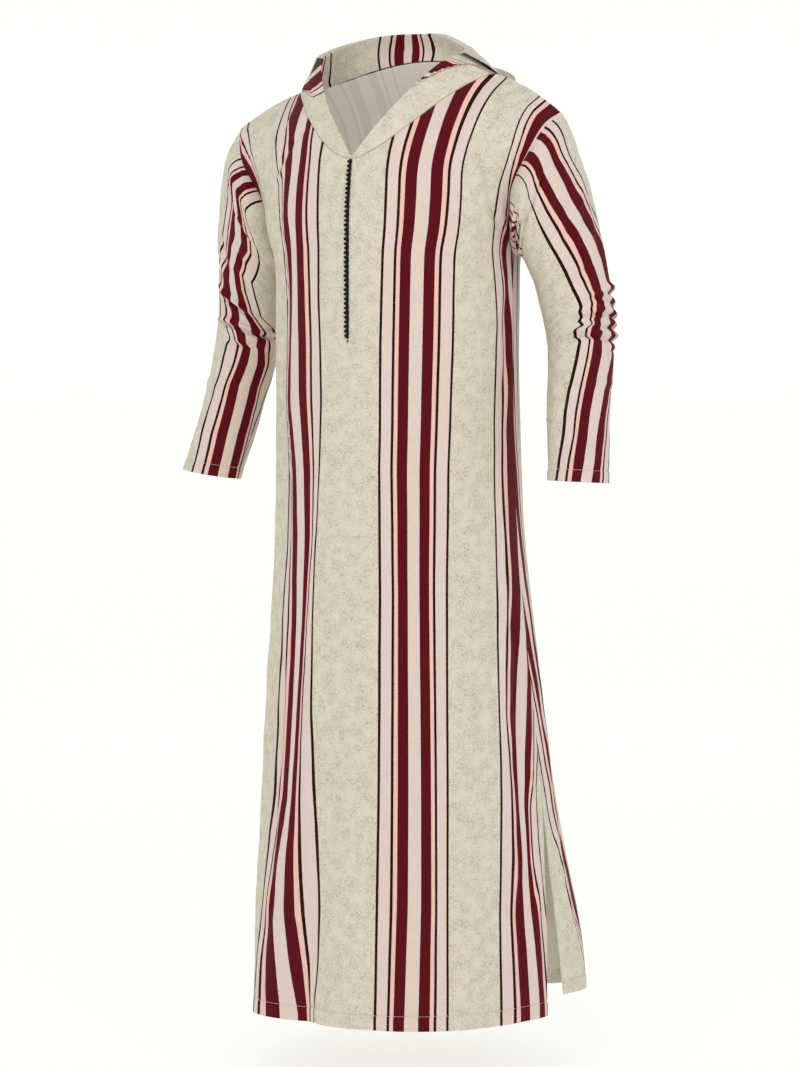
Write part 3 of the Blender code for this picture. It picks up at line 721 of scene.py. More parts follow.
panels = {}
for face, facing in (("front", 1), ("back", -1)):
    grid = smoothed_rows(panel_grid(face), LOW_ROWS, WAIST_REACH, WAIST_TURNS)
    across = lengths_along(grid, 1, SIDE_COLUMNS)
    normals = facing * grid_normals(grid)
    relief = crease_relief(across, grid[:, :, 2], PANEL_CREASES[face])
    relief += unevenness(grid, PANEL_WAVES)
    j = np.abs(np.arange(2 * SIDE_COLUMNS + 1) - SIDE_COLUMNS) / SIDE_COLUMNS
    i = np.arange(grid.shape[0])
    near_side = np.clip((1 - j) / SIDE_HOLDS, 0, 1)[None, :]
    near_top = np.clip((grid.shape[0] - 1 - i) / TOP_HOLDS, 0, 1)[:, None]
    open_side = np.clip((SLIT_LENGTH - ROBE_LENGTH - grid[:, :, 2]) / SLIT_FREES, 0, 1)
    relief *= np.maximum(near_side, open_side) * near_top
    relief += hem_relief(lengths_along(grid, 0, 0), HEM_TURNED)
    grid = grid + normals * relief[:, :, None]
    # Above the armpits each column keeps its place on the cut, so the warp runs straight up.
    across = lengths_along(grid, 1, SIDE_COLUMNS)
    across[LOW_ROWS:] = across[LOW_ROWS]
    normals = facing * grid_normals(grid)
    cut = np.stack([across, grid[:, :, 2]], axis=2)
    if face == "front":
        printed = print_place(across, grid[:, :, 2], FRONT_STRIPES)
    else:
        mirrored = print_place(np.abs(across), grid[:, :, 2], BACK_STRIPES)
        printed = np.where(across > 0, mirrored, -mirrored)
    from_hem = lengths_along(grid, 0, 0).mean(axis=1)
    turned = set(np.flatnonzero(from_hem < HEM_TURNED - RAW_EDGE))
    piece = sewn_shell(f"{face}_cloth", grid, normals, cut, printed, turned, flip=facing < 0)
    panels[face] = (grid, normals, across)
    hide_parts(f"{face}_panel")

# ---- Sleeves --------------------------------------------------------------------------------
# Each sleeve is one tube with its seam under the arm, set into the armhole. It bends at the
# elbow, where the cloth crumples.
SLEEVE_COLUMNS = ("number", "outer_x", "outer_z", "inner_x", "inner_z", "y", "depth")
SLEEVE_SECTIONS = (
    (0, 0.279, -0.108, 0.198, -0.264, 0.004, 0.078),
    (1, 0.297, -0.165, 0.206, -0.276, 0.012, 0.070),
    (2, 0.308, -0.225, 0.213, -0.300, 0.024, 0.062),
    (3, 0.318, -0.285, 0.219, -0.333, 0.036, 0.056),
    (4, 0.325, -0.345, 0.226, -0.370, 0.042, 0.052),
    (5, 0.329, -0.405, 0.233, -0.414, 0.033, 0.049),
    (6, 0.332, -0.465, 0.240, -0.468, 0.013, 0.047),
    (7, 0.338, -0.530, 0.249, -0.530, -0.010, 0.0455),
    (8, 0.345, -0.590, 0.258, -0.585, -0.031, 0.0445),
)
# How far the cuff's outer and inner sides hang below the table's, and how late that sets in.
CUFF_LOWER = {"left": (0.011, 0.011, 1), "right": (-0.018, 0.003, 4)}
CUFF_TURNED = 0.018
SLEEVE_STEPS = 30
CAP_STEPS = 14
CAP_SWELL = 0.004
ARMHOLE_HOLDS = 8
SLEEVE_WAVES = ((0.0012, 0.05, 21.0), (0.0005, 0.02, 5.0))
# across is round the sleeve from its outer line, + towards the front; down is from the
# shoulder. Columns as PANEL_CREASES.
SLEEVE_CREASES = {
    "left": (
        (-40, -300, 95, -330, 10, 1.8),
        (20, -150, 96, -190, 9, -2.5),
        (40, -60, 90, -150, 9, -2.5),
        (10, -40, 64, -150, 9, 2.0),
        (-20, -20, 12, -180, 11, -2.5),
        (70, -290, 40, -440, 10, 2.0),
        (-90, -60, -60, -190, 11, -3.0),
        (-110, -290, -80, -440, 11, 2.5),
        (110, -270, 120, -480, 12, -2.0),
    ),
    "right": (
        (-40, -300, 95, -318, 10, 1.8),
        (40, -50, 90, -150, 9, -3.0),
        (10, -50, 60, -160, 9, 3.0),
        (130, -60, 120, -180, 10, -2.5),
        (60, -90, 75, -160, 8, 2.5),
        (70, -290, 40, -440, 10, 2.0),
        (-90, -60, -60, -190, 11, -3.0),
        (-110, -290, -80, -440, 11, 2.5),
        (150, -224, 168, -300, 9, -4.0),
    ),
}
# Where the sleeve is pushed up at the elbow and bunched at the armhole, the cloth rolls over
# on itself. Columns as PANEL_CREASES; the groove is on the cuff's side of each fold.
SLEEVE_FOLDS = {
    "left": (
        (-60, -186, 20, -190, 11, 6.0),
        (-64, -203, 62, -200, 8, 3.5),
        (-58, -216, 74, -221, 9, 4.5),
        (-80, -236, 76, -231, 9, 3.5),
        (-84, -250, 124, -243, 11, 5.5),
        (-50, -266, 16, -264, 8, 2.0),
        (84, -216, 130, -222, 8, 3.5),
        (92, -368, 126, -364, 8, 3.0),
        (80, -33, 110, -43, 8, 3.0),
        (106, -41, 128, -54, 8, 3.5),
        (122, -52, 176, -53, 8, 3.0),
        (-176, -200, -90, -206, 9, 4.0),
        (-170, -232, -84, -226, 9, 4.5),
        (-160, -30, -90, -22, 9, 3.0),
        (-186, -44, -110, -46, 8, 3.0),
        (150, -26, 212, -34, 8, 4.0),
        (148, -40, 212, -50, 8, 4.5),
        (150, -57, 206, -66, 8, 4.0),
    ),
    "right": (
        (36, -168, 80, -173, 9, 3.5),
        (44, -180, 136, -194, 12, 6.0),
        (24, -217, 182, -215, 11, 6.0),
        (62, -240, 116, -236, 8, 3.5),
        (136, -196, 176, -198, 8, 3.5),
        (84, -10, 152, -12, 7, 3.5),
        (92, -21, 172, -24, 8, 4.5),
        (108, -34, 196, -38, 8, 3.0),
        (-160, -180, -40, -186, 9, 4.0),
        (-176, -214, -30, -206, 10, 4.5),
        (-150, -240, -24, -238, 9, 4.0),
        (-160, -30, -90, -22, 9, 3.0),
        (-150, -262, -70, -256, 9, 3.0),
    ),
}

# As FRONT_STRIPES, by distance down the sleeve. Places are round the sleeve from its outer
# line, + towards the front on the wearer's right and + towards the back on the left. A fold
# hides a strip of cloth, so the print steps sideways across the folds at the elbow.
SLEEVE_STRIPES = {
    "left": (
        (
            (-131.2, -124.1, -108.6, -91.4, -75.9, -68.8, -49.1),
            (-4, -214, -206, -200, -192, -184, -178, -166),
            (-28, -218, -210, -204, -196, -186, -180, -166),
            (-34, -206, -198, -192, -184, -174, -168, -158),
            (-46, -212, -204, -198, -190, -180, -174, -164),
            (-52, -222, -216, -210, -200, -190, -184, -172),
            (-66, -232, -226, -220, -210, -200, -194, -182),
            (-90, -300, -290, -280, -270, -260, -250, -240),
            (-465, -330, -320, -310, -300, -290, -280, -270),
        ),
        (
            (49.1, 68.8, 75.9, 91.4, 108.6, 124.1, 131.2, 150.9),
            (-15, -127, -110, -104, -87, -67, -54, -43, -25),
            (-40, -125, -106, -99, -83, -62, -48, -38, -24),
            (-70, -113, -94, -85, -71, -51, -34, -25, -12),
            (-100, -98, -78, -68, -53, -37, -15, -5, 8),
            (-125, -86, -67, -56, -40, -21, 8, 14, 28),
            (-150, -76, -57, -48, -31, -8, 15, 22, 40),
            (-180, -66, -48, -40, -22, -5, 14, 21, 38),
            (-192, -61, -43, -37, -21, -2, 14, 21, 38),
            (-204, -57, -41, -33, -18, 0, 16, 21, 38),
            (-210, -60, -45, -38, -22, -5, 10, 17, 36),
            (-218, -57, -42, -35, -21, -5, 10, 17, 36),
            (-222, -62, -46, -41, -27, -12, 5, 12, 34),
            (-229, -54, -41, -38, -30, -13, 4, 12, 34),
            (-233, -67, -52, -46, -30, -13, 2, 10, 32),
            (-244, -67, -52, -46, -28, -14, -2, 6, 28),
            (-247, -59, -46, -40, -26, -8, 8, 14, 34),
            (-269, -62, -48, -42, -25, -1, 13, 19, 36),
            (-318, -68, -54, -48, -32, -14, 4, 11, 30),
            (-355, -73, -58, -52, -37, -20, -6, 0, 18),
            (-393, -75, -60, -55, -40, -26, -10, -4, 15),
            (-431, -80, -66, -59, -44, -29, -16, -11, 8),
            (-465, -85, -70, -62, -49, -34, -19, -13, 6),
        ),
    ),
    "right": (
        (
            (49.1, 68.8, 75.9, 91.4, 108.6, 124.1, 131.2, 150.9),
            (-4, 84, 98, 104, 114, 124, 136, 141, 158),
            (-20, 88, 100, 106, 116, 126, 139, 144, 162),
            (-25, 106, 122, 128, 136, 150, 168, 178, 202),
            (-35, 112, 129, 134, 142, 160, 180, 188, 206),
            (-65, 95, 111, 116, 130, 145, 161, 168, 186),
            (-95, 75, 91, 95, 104, 117, 130, 138, 160),
            (-125, 60, 74, 79, 88, 97, 111, 116, 134),
            (-150, 42, 58, 65, 82, 95, 108, 114, 132),
            (-165, 36, 52, 62, 83, 96, 110, 116, 133),
            (-180, 40, 56, 66, 88, 98, 113, 118, 133),
            (-190, 46, 66, 78, 95, 104, 118, 124, 145),
            (-203, 48, 66, 79, 94, 112, 127, 133, 159),
            (-216, 58, 67, 78, 94, 112, 126, 133, 160),
            (-218, 66, 79, 85, 103, 122, 138, 142, 164),
            (-236, 80, 87, 91, 104, 119, 134, 144, 168),
            (-240, 71, 91, 99, 112, 122, 134, 143, 168),
            (-266, 67, 88, 94, 109, 123, 138, 144, 166),
            (-305, 63, 80, 86, 101, 117, 133, 137, 152),
            (-388, 57, 75, 84, 100, 115, 132, 137, 152),
            (-465, 61, 79, 87, 103, 118, 135, 141, 157),
        ),
    ),
}


def sleeve_grid(side):
    """Rings from the armhole down to the cuff, each starting at the seam under the arm."""
    sign, column = (1, -1) if side == "left" else (-1, 0)
    front, back = (panels[face][0][LOW_ROWS:, column] for face in ("front", "back"))
    loop = np.concatenate([front[::-1], back[1:-1]])
    count = len(loop)
    last = len(SLEEVE_SECTIONS) - 1
    lift = SHOULDER_TIP_DROP["left"] - SHOULDER_TIP_DROP[side]
    turns = np.arange(count) * math.tau / count
    outer_lower, inner_lower, lateness = CUFF_LOWER[side]
    rings = []
    for step in range(last * SLEEVE_STEPS + 1):
        at = step / SLEEVE_STEPS
        outer_x, outer_z, inner_x, inner_z, y, depth = (
            column_at(SLEEVE_SECTIONS, SLEEVE_COLUMNS, "number", c, at) for c in SLEEVE_COLUMNS[1:]
        )
        hung = (at / last) ** lateness
        outer_z += lift * (1 - at / last) - outer_lower * hung
        outer = np.array((outer_x, y, outer_z))
        inner = np.array((inner_x, y, inner_z - inner_lower * hung))
        middle, half = (outer + inner) / 2, (outer - inner) / 2
        ring = middle + np.cos(turns)[:, None] * half
        ring[:, 1] -= np.sin(turns) * depth
        ring[:, 0] *= sign
        rings.append(ring)
    middle = rings[0].mean(axis=0)
    cap = []
    for step in range(CAP_STEPS):
        share = step / CAP_STEPS
        ring = loop + (rings[0] - loop) * share
        away = ring - middle
        away /= np.linalg.norm(away, axis=1, keepdims=True)
        cap.append(ring + away * CAP_SWELL * math.sin(math.pi * share))
    return np.roll(np.array(cap + rings), -(count // 2), axis=1)


sleeves = {}
for side in ("left", "right"):
    grid = sleeve_grid(side)
    count = grid.shape[1]
    steps = np.linalg.norm(np.roll(grid, -1, axis=1) - grid, axis=2)
    round_it = np.cumsum(steps, axis=1) - steps
    signed = round_it - round_it[:, count // 2, None]
    middles = grid.mean(axis=1)
    down = -np.cumsum(np.linalg.norm(np.diff(middles, axis=0, prepend=middles[:1]), axis=1))
    down = np.repeat(down[:, None], count, axis=1)
    normals = grid_normals(grid[::-1, ::-1] if side == "left" else grid[::-1], around=True)
    normals = normals[::-1, ::-1] if side == "left" else normals[::-1]
    relief = crease_relief(signed, down, SLEEVE_CREASES[side])
    relief += crease_relief(signed, down, SLEEVE_FOLDS[side], rolled=True)
    relief += unevenness(grid, SLEEVE_WAVES)
    relief *= np.clip(np.arange(grid.shape[0]) / ARMHOLE_HOLDS, 0, 1)[:, None]
    relief += hem_relief(down - down[-1], CUFF_TURNED)
    grid = grid + normals * relief[:, :, None]
    cut = np.stack([signed, down], axis=2)
    place = -signed if side == "left" else signed
    printed = print_place(place, down, SLEEVE_STRIPES[side], soften=4)
    from_cuff = down[:-1, 0] - down[-1, 0]
    turned = set(np.flatnonzero(from_cuff < CUFF_TURNED - RAW_EDGE))
    name, flip = f"sleeve_{side}_cloth", side == "right"
    piece = sewn_shell(name, grid, normals, cut, printed, turned, around=True, flip=flip)
    sleeves[side] = (grid, normals)
    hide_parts(f"sleeve_{side}")

# ---- Hood -----------------------------------------------------------------------------------
# The hood's lower part is sewn round the neck: narrow strips beside the V, and a standing band
# at the back. The rest rolls over and hangs down the back.

# The strips' and the band's top edge, from the V's point round to the middle of the back. Its
# height differs on the wearer's left and right.
COLLAR_COLUMNS = ("round", "x", "y", "left", "right")
COLLAR_EDGE = (
    (0.00, 0.000, -0.1500, -0.1330, -0.1330),
    (0.20, 0.030, -0.1330, -0.0880, -0.0880),
    (0.40, 0.064, -0.1050, -0.0400, -0.0400),
    (0.56, 0.096, -0.0620, 0.0080, 0.0170),
    (0.70, 0.112, -0.0100, 0.0340, 0.0500),
    (0.85, 0.080, 0.0480, 0.0570, 0.0800),
    (0.93, 0.040, 0.0630, 0.0800, 0.0860),
    (1.00, 0.000, 0.0720, 0.0860, 0.0860),
)
# As FRONT_STRIPES, by distance up from the neck seam. Places are round the neck from the middle
# of the back. The strips beside the V are plain, and the print shows where the hood rolls over.
COLLAR_STRIPES = (
    (
        (-235.0, -160.0, -150.9, -131.2, -124.1, -108.6, -91.4, -75.9, -68.8, -49.1),
        (0, -460, -214, -210, -206, -203, -198, -190, -180, -172, -158),
        (12, -460, -250, -246, -240, -236, -206, -196, -180, -172, -156),
        (24, -460, -290, -284, -270, -264, -226, -206, -178, -168, -150),
        (40, -460, -300, -292, -278, -270, -232, -212, -168, -162, -144),
        (70, -460, -304, -296, -280, -272, -236, -218, -166, -158, -140),
    ),
    (
        (49.1, 68.8, 75.9, 91.4, 108.6, 124.1, 131.2, 150.9, 165.0),
        (0, -78, -58, -50, -30, -15, 2, 10, 30, 60),
        (70, -44, -27, -21, -10, -6, -2, 3, 10, 60),
    ),
    (
        (235.0, 249.1, 268.8, 275.9, 291.4, 308.6, 324.1, 331.2, 350.9, 360.0, 435.0),
        (0, 178, 182, 184, 186, 188, 190, 192, 194, 196, 200, 460),
        (34, 178, 182, 184, 186, 188, 190, 192, 194, 196, 200, 460),
        (41, 188, 204, 212, 216, 262, 270, 276, 284, 294, 300, 460),
        (56, 186, 200, 210, 214, 268, 276, 280, 292, 300, 308, 460),
        (70, 186, 200, 210, 214, 268, 276, 280, 292, 300, 308, 460),
    ),
)
COLLAR_SHOULDER = 0.62
COLLAR_LIFT = 0.0012
COLLAR_SWELL = 0.006
COLLAR_SWELL_FROM = 0.3
COLLAR_SWELL_GROWS = 2.5
COLLAR_CENTRE = Vector((0, 0.02, 0))
COLLAR_HALF = 72
COLLAR_ROWS = 18
HOOD_HALF_WIDTH = 0.66
HOOD_DROP = 0.33
HOOD_END_DROP = 0.035
HOOD_POINT = 1.7
HOOD_CLEARANCE = 0.007
HOOD_FULLNESS = 0.066
HOOD_FROM = COLLAR_SHOULDER + (1 - COLLAR_SHOULDER) / 9
HOOD_TOP_DROP = 0.012
HOOD_RIM_DROP = 0.010
HOOD_FOLD = 0.012
HOOD_END_FOLD = 0.005
HOOD_FLATTENS = 3
HOOD_SPACING = 1.3
HOOD_HALF = 36
HOOD_ROWS = 40
HOOD_CENTRE = Vector((0, -0.03, 0))
HOOD_BACKWARD = Vector((0, 2, 0))
HOOD_WAVES = ((0.003, 0.07, 11.0), (0.0012, 0.03, 2.0))
HOOD_WAVES_INSIDE = 0.2
# The place across the bag, and the place there on the print. Over its first rows the bag
# goes on with the standing band's stripes, and only then does it follow this.
HOOD_PRINT = ((-0.40, -0.17, -0.12, 0.03, 0.40), (-0.045, -0.035, 0.0, 0.155, 0.245))
HOOD_PRINT_ENDS = (-0.035, 0.245)
BAND_PRINT_ROWS = 30
ROLL_START = 0.0009
ROLL_OUT = 0.010
ROLL_UP = 0.002
ROLL_OVER = 0.004


def neck_seam_point(at, side):
    if at <= COLLAR_SHOULDER:
        share = NECK_SHARE * at / COLLAR_SHOULDER
        return yoke_point(side, "front", share, neck_top("front", share))
    return yoke_point(side, "back", NECK_SHARE * (1 - at) / (1 - COLLAR_SHOULDER), 1)


def collar_edge_point(at, side):
    x, y, z = (column_at(COLLAR_EDGE, COLLAR_COLUMNS, "round", c, at) for c in ("x", "y", side))
    return Vector((x if side == "left" else -x, y, z))


def level(way):
    """The way without its rise, one long."""
    return Vector((way.x, way.y, 0)).normalized()


places = [i / COLLAR_HALF for i in range(COLLAR_HALF + 1)]
rows = [[] for _ in range(COLLAR_ROWS + 1)]
for at, side in [(at, "right") for at in places] + [(at, "left") for at in places[-2::-1]]:
    seam, edge = neck_seam_point(at, side), collar_edge_point(at, side)
    seam = seam + (edge - seam).normalized() * COLLAR_LIFT
    away = level(seam - COLLAR_CENTRE)
    swell = COLLAR_SWELL * ease(COLLAR_SWELL_GROWS * (at - COLLAR_SWELL_FROM))
    for i, row in enumerate(rows):
        part_up = i / COLLAR_ROWS
        row.append(seam.lerp(edge, part_up) + swell * math.sin(math.pi * part_up) * away)
grid = np.array(rows)
normals = -grid_normals(grid)
across = lengths_along(grid, 1, len(places) - 1)
across = np.repeat(across[COLLAR_ROWS // 2][None, :], COLLAR_ROWS + 1, axis=0)
up_strip = lengths_along(grid, 0, 0)
cut = np.stack([across, up_strip], axis=2)
printed = print_place(across, up_strip, COLLAR_STRIPES, soften=4)
band_top = printed[-1]
piece = sewn_shell("hood_neck_cloth", grid, normals, cut, printed, flip=True)
piece.data.materials[1] = cotton
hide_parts("hood_neck")


def hood_drop(share):
    return HOOD_END_DROP + (HOOD_DROP - HOOD_END_DROP) * (1 - share**HOOD_POINT)


def back_surface(side, share, drop):
    """The back panel's surface at a drop below the shoulder line, and its way out."""
    def at(share, drop):
        if drop < ARMPIT_DROP:
            return yoke_point(side, "back", share, 1 - drop / ARMPIT_DROP)
        turn = math.pi - share * math.pi / 2
        return body_point(turn if side == "left" else -turn, -drop)

    here = at(share, drop)
    out = (at(share + 0.02, drop) - here).cross(at(share, drop + 0.01) - here).normalized()
    return here, out if out.y > 0 else -out


def hood_column(share, side):
    top = collar_edge_point(1 - share * (1 - HOOD_FROM), side)
    away = level(top - HOOD_CENTRE)
    column = [top + away * ROLL_START, top + away * ROLL_OUT + Vector((0, 0, ROLL_UP))]
    panel_share, deep = HOOD_HALF_WIDTH * share, hood_drop(share)
    down = []
    for i in range(1, HOOD_ROWS + 1):
        drop = HOOD_TOP_DROP + (deep - HOOD_TOP_DROP) * (i / HOOD_ROWS) ** HOOD_SPACING
        here, out = back_surface(side, panel_share, drop)
        down.append(here + out * (HOOD_CLEARANCE + CLOTH_THICKNESS))
    column += [column[1].lerp(down[0], 0.5) + Vector((0, 0, ROLL_OVER)), *down]
    for i in range(HOOD_ROWS, 0, -1):
        part_down = (i - 0.4) / HOOD_ROWS
        drop = HOOD_RIM_DROP + (deep - HOOD_RIM_DROP) * part_down**HOOD_SPACING
        here, out = back_surface(side, panel_share, drop)
        full = HOOD_FULLNESS * (1 - part_down) ** HOOD_FLATTENS * (1 - share**2)
        fold = HOOD_FOLD - (HOOD_FOLD - HOOD_END_FOLD) * share**2
        backward = (out + HOOD_BACKWARD).normalized()
        column.append(here + out * (HOOD_CLEARANCE + CLOTH_THICKNESS + fold) + backward * full)
    return column


shares = [(i / HOOD_HALF, "right") for i in range(HOOD_HALF, 0, -1)]
shares += [(i / HOOD_HALF, "left") for i in range(HOOD_HALF + 1)]
grid = np.array([hood_column(share, side) for share, side in shares]).transpose(1, 0, 2)
across = lengths_along(grid, 1, HOOD_HALF)
normals = -grid_normals(grid)
relief = unevenness(grid, HOOD_WAVES)
relief[: HOOD_ROWS + 3] *= HOOD_WAVES_INSIDE
grid = grid - normals * relief[:, :, None]
cut = np.stack([across, lengths_along(grid, 0, 0)], axis=2)
turns = [share * (1 - HOOD_FROM) * (1 if side == "left" else -1) for share, side in shares]
rolled = np.interp(COLLAR_HALF * (1 + np.array(turns)), np.arange(len(band_top)), band_top)
rolled = np.clip(rolled, *HOOD_PRINT_ENDS)[None, :]
hanging = np.clip(np.arange(len(grid)) / BAND_PRINT_ROWS, 0, 1)[:, None]
printed = np.interp(across, *HOOD_PRINT) * hanging + rolled * (1 - hanging)
piece = sewn_shell("hood_cloth", grid, normals, cut, printed, flip=True)
piece.data.materials[1] = cotton
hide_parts("hood_bag")

# ---- Knotted braid --------------------------------------------------------------------------
# A black cotton cord sewn down beside the front's middle, with small round knots along its
# right-hand edge, one every few millimetres.
BRAID_LENGTH = 0.258
BRAID_TOP = NECK_POINT_DEPTH + 0.0003
CORD_RADIUS = 0.0013
CORD_PLACES = (-0.0008, -0.0030)
CORD_STEPS = 90
CORD_SIDES = 8
CORD_WANDER = 0.0004
KNOT_RADIUS = 0.0021
KNOT_SPACING = 0.0066
FIRST_KNOT = 0.003
KNOT_PLACE = -0.0052
KNOT_WANDER = 0.0003
# How much of its radius a cord or a knot stands proud of the cloth.
PROUD = 0.8
TAIL_PLACE = -0.0015
TAIL_DROP = 0.004
TAIL_RADIUS = 0.0015
TAIL_OUT = 0.001
# The cord's black, and a lighter tone that is a painted sheen on the crown of each twist.
CORD_DARK = "#040303"
CORD_PAINTED_SHEEN = "#120E0C"


def front_middle(x, drop):
    """The front cloth's surface near its middle, at a drop below the shoulder."""
    grid = panels["front"][0]
    first, second = grid[LOW_ROWS, SIDE_COLUMNS : SIDE_COLUMNS + 2]
    column = SIDE_COLUMNS + x / np.linalg.norm(second - first)
    j = int(math.floor(column))
    line = grid[:, j] + (grid[:, j + 1] - grid[:, j]) * (column - j)
    return Vector([float(np.interp(-drop, line[:, 2], line[:, k])) for k in range(3)])


def black_cotton():
    """Twisted black cotton cord: matte, with a painted sheen: a lighter tone on the crown of each
    twist.
    """
    material, tree, shader = new_material("black_cotton_cord")
    place = add_node(tree, "ShaderNodeTexCoord", {}).outputs["Object"]
    inputs = {"Vector": place, "Scale": 330.0, "Distortion": 0.6}
    twist = add_node(tree, "ShaderNodeTexWave", inputs, bands_direction="DIAGONAL").outputs["Fac"]
    # Painted sheen: the lighter tone lies where the twist stands highest, where light would catch
    # it.
    inputs = {"Factor": twist, 6: linear(CORD_DARK), 7: linear(CORD_PAINTED_SHEEN)}
    tone = add_node(tree, "ShaderNodeMix", inputs, data_type="RGBA").outputs[2]
    inputs = {"Height": twist, "Strength": 0.5, "Distance": 0.0005}
    bump = add_node(tree, "ShaderNodeBump", inputs).outputs["Normal"]
    inputs = {"Base Color": tone, "Normal": bump, "Roughness": 0.7}
    set_inputs(tree, shader, inputs | {"Specular IOR Level": 0.2, "Sheen Weight": 0.05})
    return material


def ringed(rings):
    """Vertices and faces of a closed form through rings of points."""
    count, end = len(rings[0]), len(rings) * len(rings[0])
    faces = []
    for n in range(0, end - count, count):
        for k in range(count):
            a, b = n + k, n + (k + 1) % count
            faces.append((b, a, a + count, b + count))
    faces += [tuple(range(count)), tuple(range(end - 1, end - count - 1, -1))]
    return [point for ring in rings for point in ring], faces


def tube(points, radius, count):
    """A closed tube through the points."""
    rings = []
    for n, middle in enumerate(points):
        along = points[min(n + 1, len(points) - 1)] - points[max(n - 1, 0)]
        side = along.cross(Vector((0, -1, 0))).normalized()
        up = side.cross(along).normalized()
        turns = (math.tau * k / count for k in range(count))
        rings.append([middle + radius * (math.cos(t) * side + math.sin(t) * up) for t in turns])
    return ringed(rings)


def knot(middle, radius, high=7, count=10):
    """A tight round knot: a ball with the cord's turns showing as two grooves."""
    rings = []
    for i in range(high + 1):
        tilt = math.pi * (0.04 + 0.92 * i / high)
        ring = []
        for t in (math.tau * k / count for k in range(count)):
            grooved = radius * (1 - 0.10 * math.cos(2 * t + 3 * tilt) ** 4)
            aside, up = math.sin(tilt), math.cos(tilt)
            ring.append(middle + grooved * Vector((aside * math.cos(t), aside * math.sin(t), up)))
        rings.append(ring)
    return ringed(rings)


def joined(name, parts, material):
    """One piece from many closed forms of one material."""
    mesh = bpy.data.meshes.new(name)
    vertices, faces = [], []
    for some, more in parts:
        faces += [tuple(len(vertices) + n for n in face) for face in more]
        vertices += [tuple(v) for v in some]
    mesh.from_pydata(vertices, [], faces)
    mesh.materials.append(material)
    mesh.shade_smooth()
    piece = placed(name, mesh)
    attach(piece, "root")
    return piece


forward = Vector((0, -1, 0))
parts = []
for x in CORD_PLACES:
    line = []
    for n in range(CORD_STEPS + 1):
        wander = CORD_WANDER * math.sin(n * 1.9 + x * 900)
        here = front_middle(x + wander, BRAID_TOP + BRAID_LENGTH * n / CORD_STEPS)
        line.append(here + forward * CORD_RADIUS * PROUD)
    parts.append(tube(line, CORD_RADIUS, CORD_SIDES))
for n in range(int(BRAID_LENGTH / KNOT_SPACING)):
    radius = KNOT_RADIUS * (1 + 0.08 * math.sin(n * 2.3))
    x = KNOT_PLACE + KNOT_WANDER * math.sin(n * 1.7)
    here = front_middle(x, BRAID_TOP + FIRST_KNOT + n * KNOT_SPACING)
    parts.append(knot(here + forward * radius * PROUD, radius))
tail = front_middle(TAIL_PLACE, BRAID_TOP + BRAID_LENGTH + TAIL_DROP)
parts.append(knot(tail + forward * TAIL_OUT, TAIL_RADIUS))
braid = joined("knotted_braid", parts, black_cotton())
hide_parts("placket_braid")

# ---- Topstitching ---------------------------------------------------------------------------
# Pale cotton thread: one row of machine stitches round the hem and both cuffs, holding what is
# turned in. It shows mostly where it crosses the dark stripes.
STITCH_LENGTH = 0.0029
STITCH_GAP = 0.0011
THREAD_RADIUS = 0.00030
THREAD_SIDES = 5
# A stitch's ends are pulled in and its middle stands out.
STITCH_LIFTS = (0.0001, 0.0004, 0.0001)


def cotton_thread():
    """Spun thread: pale, with a slight shine."""
    material, tree, shader = new_material("pale_cotton_thread")
    set_inputs(tree, shader, {"Base Color": linear("#DBC9BC"), "Roughness": 0.6})
    return material


def level_line(grid, normals, at):
    """A line across a panel or round a sleeve, at a distance up from its first row."""
    heights = lengths_along(grid, 0, 0)
    line, outward = [], []
    for j in range(grid.shape[1]):
        line.append([np.interp(at, heights[:, j], grid[:, j, k]) for k in range(3)])
        outward.append(normals[int(np.searchsorted(heights[:, j], at)), j])
    return np.array(line), np.array(outward)


def sewn_row(line, outward):
    """Stitches along a line of points, each a short bent thread lying on the cloth."""
    lengths = np.concatenate([[0], np.cumsum(np.linalg.norm(np.diff(line, axis=0), axis=1))])

    def at(place, lift):
        point = [np.interp(place, lengths, line[:, k]) for k in range(3)]
        out = [np.interp(place, lengths, outward[:, k]) for k in range(3)]
        return Vector(point) + Vector(out).normalized() * lift

    row = []
    for n in range(int(lengths[-1] / (STITCH_LENGTH + STITCH_GAP))):
        start = n * (STITCH_LENGTH + STITCH_GAP)
        ends = (start, start + STITCH_LENGTH / 2, start + STITCH_LENGTH)
        points = [at(place, lift) for place, lift in zip(ends, STITCH_LIFTS)]
        row.append(tube(points, THREAD_RADIUS, THREAD_SIDES))
    return row


thread = cotton_thread()
rows = []
for face in ("front", "back"):
    rows += sewn_row(*level_line(panels[face][0], panels[face][1], HEM_TURNED))
joined("hem_stitches", rows, thread)
rows = []
for side in ("left", "right"):
    grid, normals = (part[::-1] for part in sleeves[side])
    line, outward = level_line(grid, normals, CUFF_TURNED)
    rows += sewn_row(np.concatenate([line, line[:1]]), np.concatenate([outward, outward[:1]]))
joined("cuff_stitches", rows, thread)

# ---- Studio ---------------------------------------------------------------------------------
# A round pale sweep, floor and wall in one, with large soft lights. The camera is level with
# the robe's middle.
CAMERA_TURN = math.radians(26)
CAMERA_DISTANCE = 3.4
CAMERA_HEIGHT = -0.672
CAMERA_SIDE = 0.0045
CAMERA_LENS = 76.9
CAMERA_SENSOR = 36
FLOOR = -1.47
SWEEP_FLAT = 5.5
SWEEP_CURVE = 2.0
SWEEP_TOP = 7.0
SWEEP_SIDES = 96
LAMP_AIM = Vector((0, 0, -0.45))
NECK_AIM = Vector((0, 0.08, 0.02))
across_view = Vector((math.cos(CAMERA_TURN), math.sin(CAMERA_TURN), 0))
into_view = Vector((-math.sin(CAMERA_TURN), math.cos(CAMERA_TURN), 0))
upward = Vector((0, 0, 1))

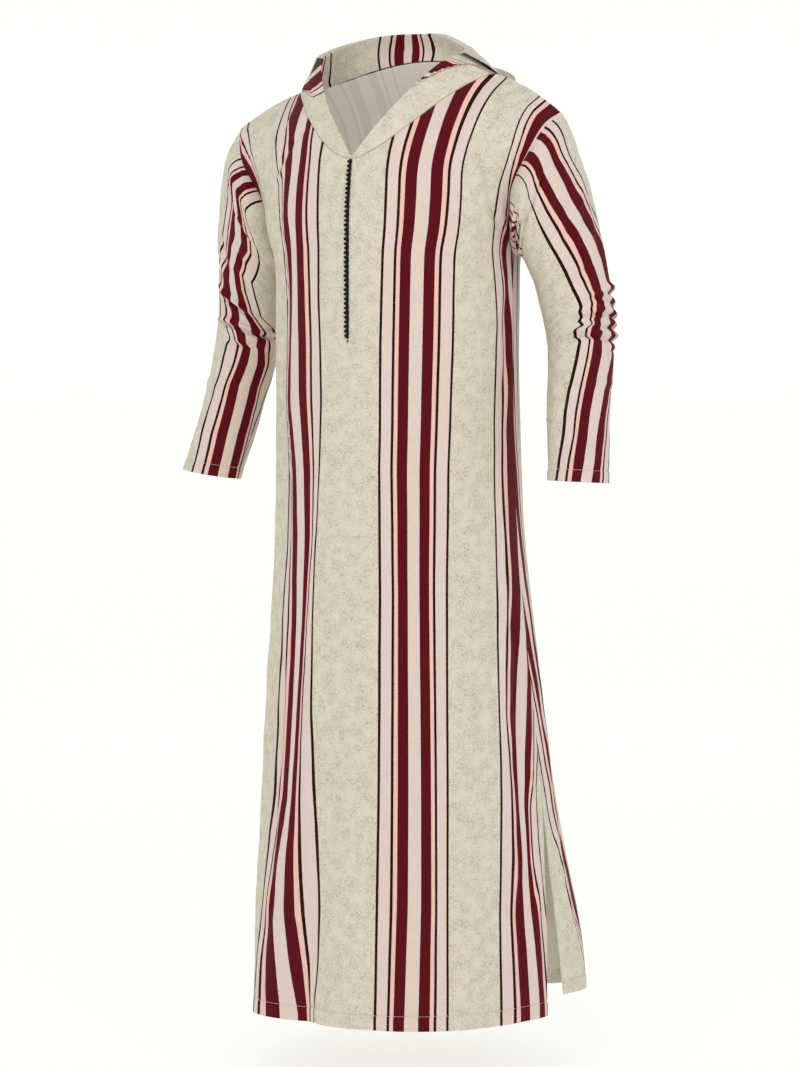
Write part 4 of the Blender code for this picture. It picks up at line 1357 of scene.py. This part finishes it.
camera = placed("camera", bpy.data.cameras.new("camera"))
camera.data.lens = CAMERA_LENS
camera.data.sensor_width = CAMERA_SENSOR
camera.location = across_view * CAMERA_SIDE - into_view * CAMERA_DISTANCE + upward * CAMERA_HEIGHT
camera.rotation_euler = (math.pi / 2, 0, CAMERA_TURN)
bpy.context.scene.camera = camera

curve = [(math.sin(t), 1 - math.cos(t)) for t in np.linspace(0, math.pi / 2, 16)]
profile = [(SWEEP_FLAT + SWEEP_CURVE * out, SWEEP_CURVE * up) for out, up in curve]
profile.append((SWEEP_FLAT + SWEEP_CURVE, SWEEP_TOP))
vertices, faces = [(0, 0, FLOOR)], []
for n, (out, up) in enumerate(profile):
    for k in range(SWEEP_SIDES):
        t = math.tau * k / SWEEP_SIDES
        vertices.append((out * math.cos(t), out * math.sin(t), FLOOR + up))
        here, beside = (1 + SWEEP_SIDES * n + i % SWEEP_SIDES for i in (k, k + 1))
        inner = (beside - SWEEP_SIDES, here - SWEEP_SIDES)
        faces.append((here, beside, *inner) if n else (0, here, beside))
mesh = bpy.data.meshes.new("sweep")
mesh.from_pydata(vertices, [], faces)
mesh.shade_smooth()
# Matt paper that gives off a little light of its own, so that it stays white behind the robe.
material, tree, shader = new_material("matt_white_paper")
inputs = {"Base Color": linear("#B6B6B4"), "Roughness": 0.95}
inputs |= {"Emission Color": linear("#FFFEFA"), "Emission Strength": 0.63}
set_inputs(tree, shader, inputs)
mesh.materials.append(material)
placed("sweep", mesh)

# The last lamp is a small one inside the neck, so that the V isn't a dark hole.
for name, aside, toward, up, size, watts in (
    ("key", -0.9, 2.8, 1.9, 1.8, 18),
    ("fill", 1.5, 2.6, 1.2, 2.0, 8),
    ("top", 0.1, 1.2, 2.3, 1.2, 9),
    ("neck", 0.0, 0.03, -0.26, 0.1, 0.13),
):
    lamp = placed(name, bpy.data.lights.new(name, "AREA"))
    lamp.data.size = size
    lamp.data.energy = watts
    lamp.location = across_view * aside - into_view * toward + upward * up
    aim = (NECK_AIM if name == "neck" else LAMP_AIM) - lamp.location
    lamp.rotation_euler = aim.to_track_quat("-Z", "Y").to_euler()

world = bpy.data.worlds.new("studio")
bpy.context.scene.world = world
world.use_nodes = True
tree = world.node_tree
set_inputs(tree, tree.nodes["Background"], {"Color": linear("#FFFFFC"), "Strength": 0.42})
bpy.context.scene.view_settings.view_transform = "Standard"
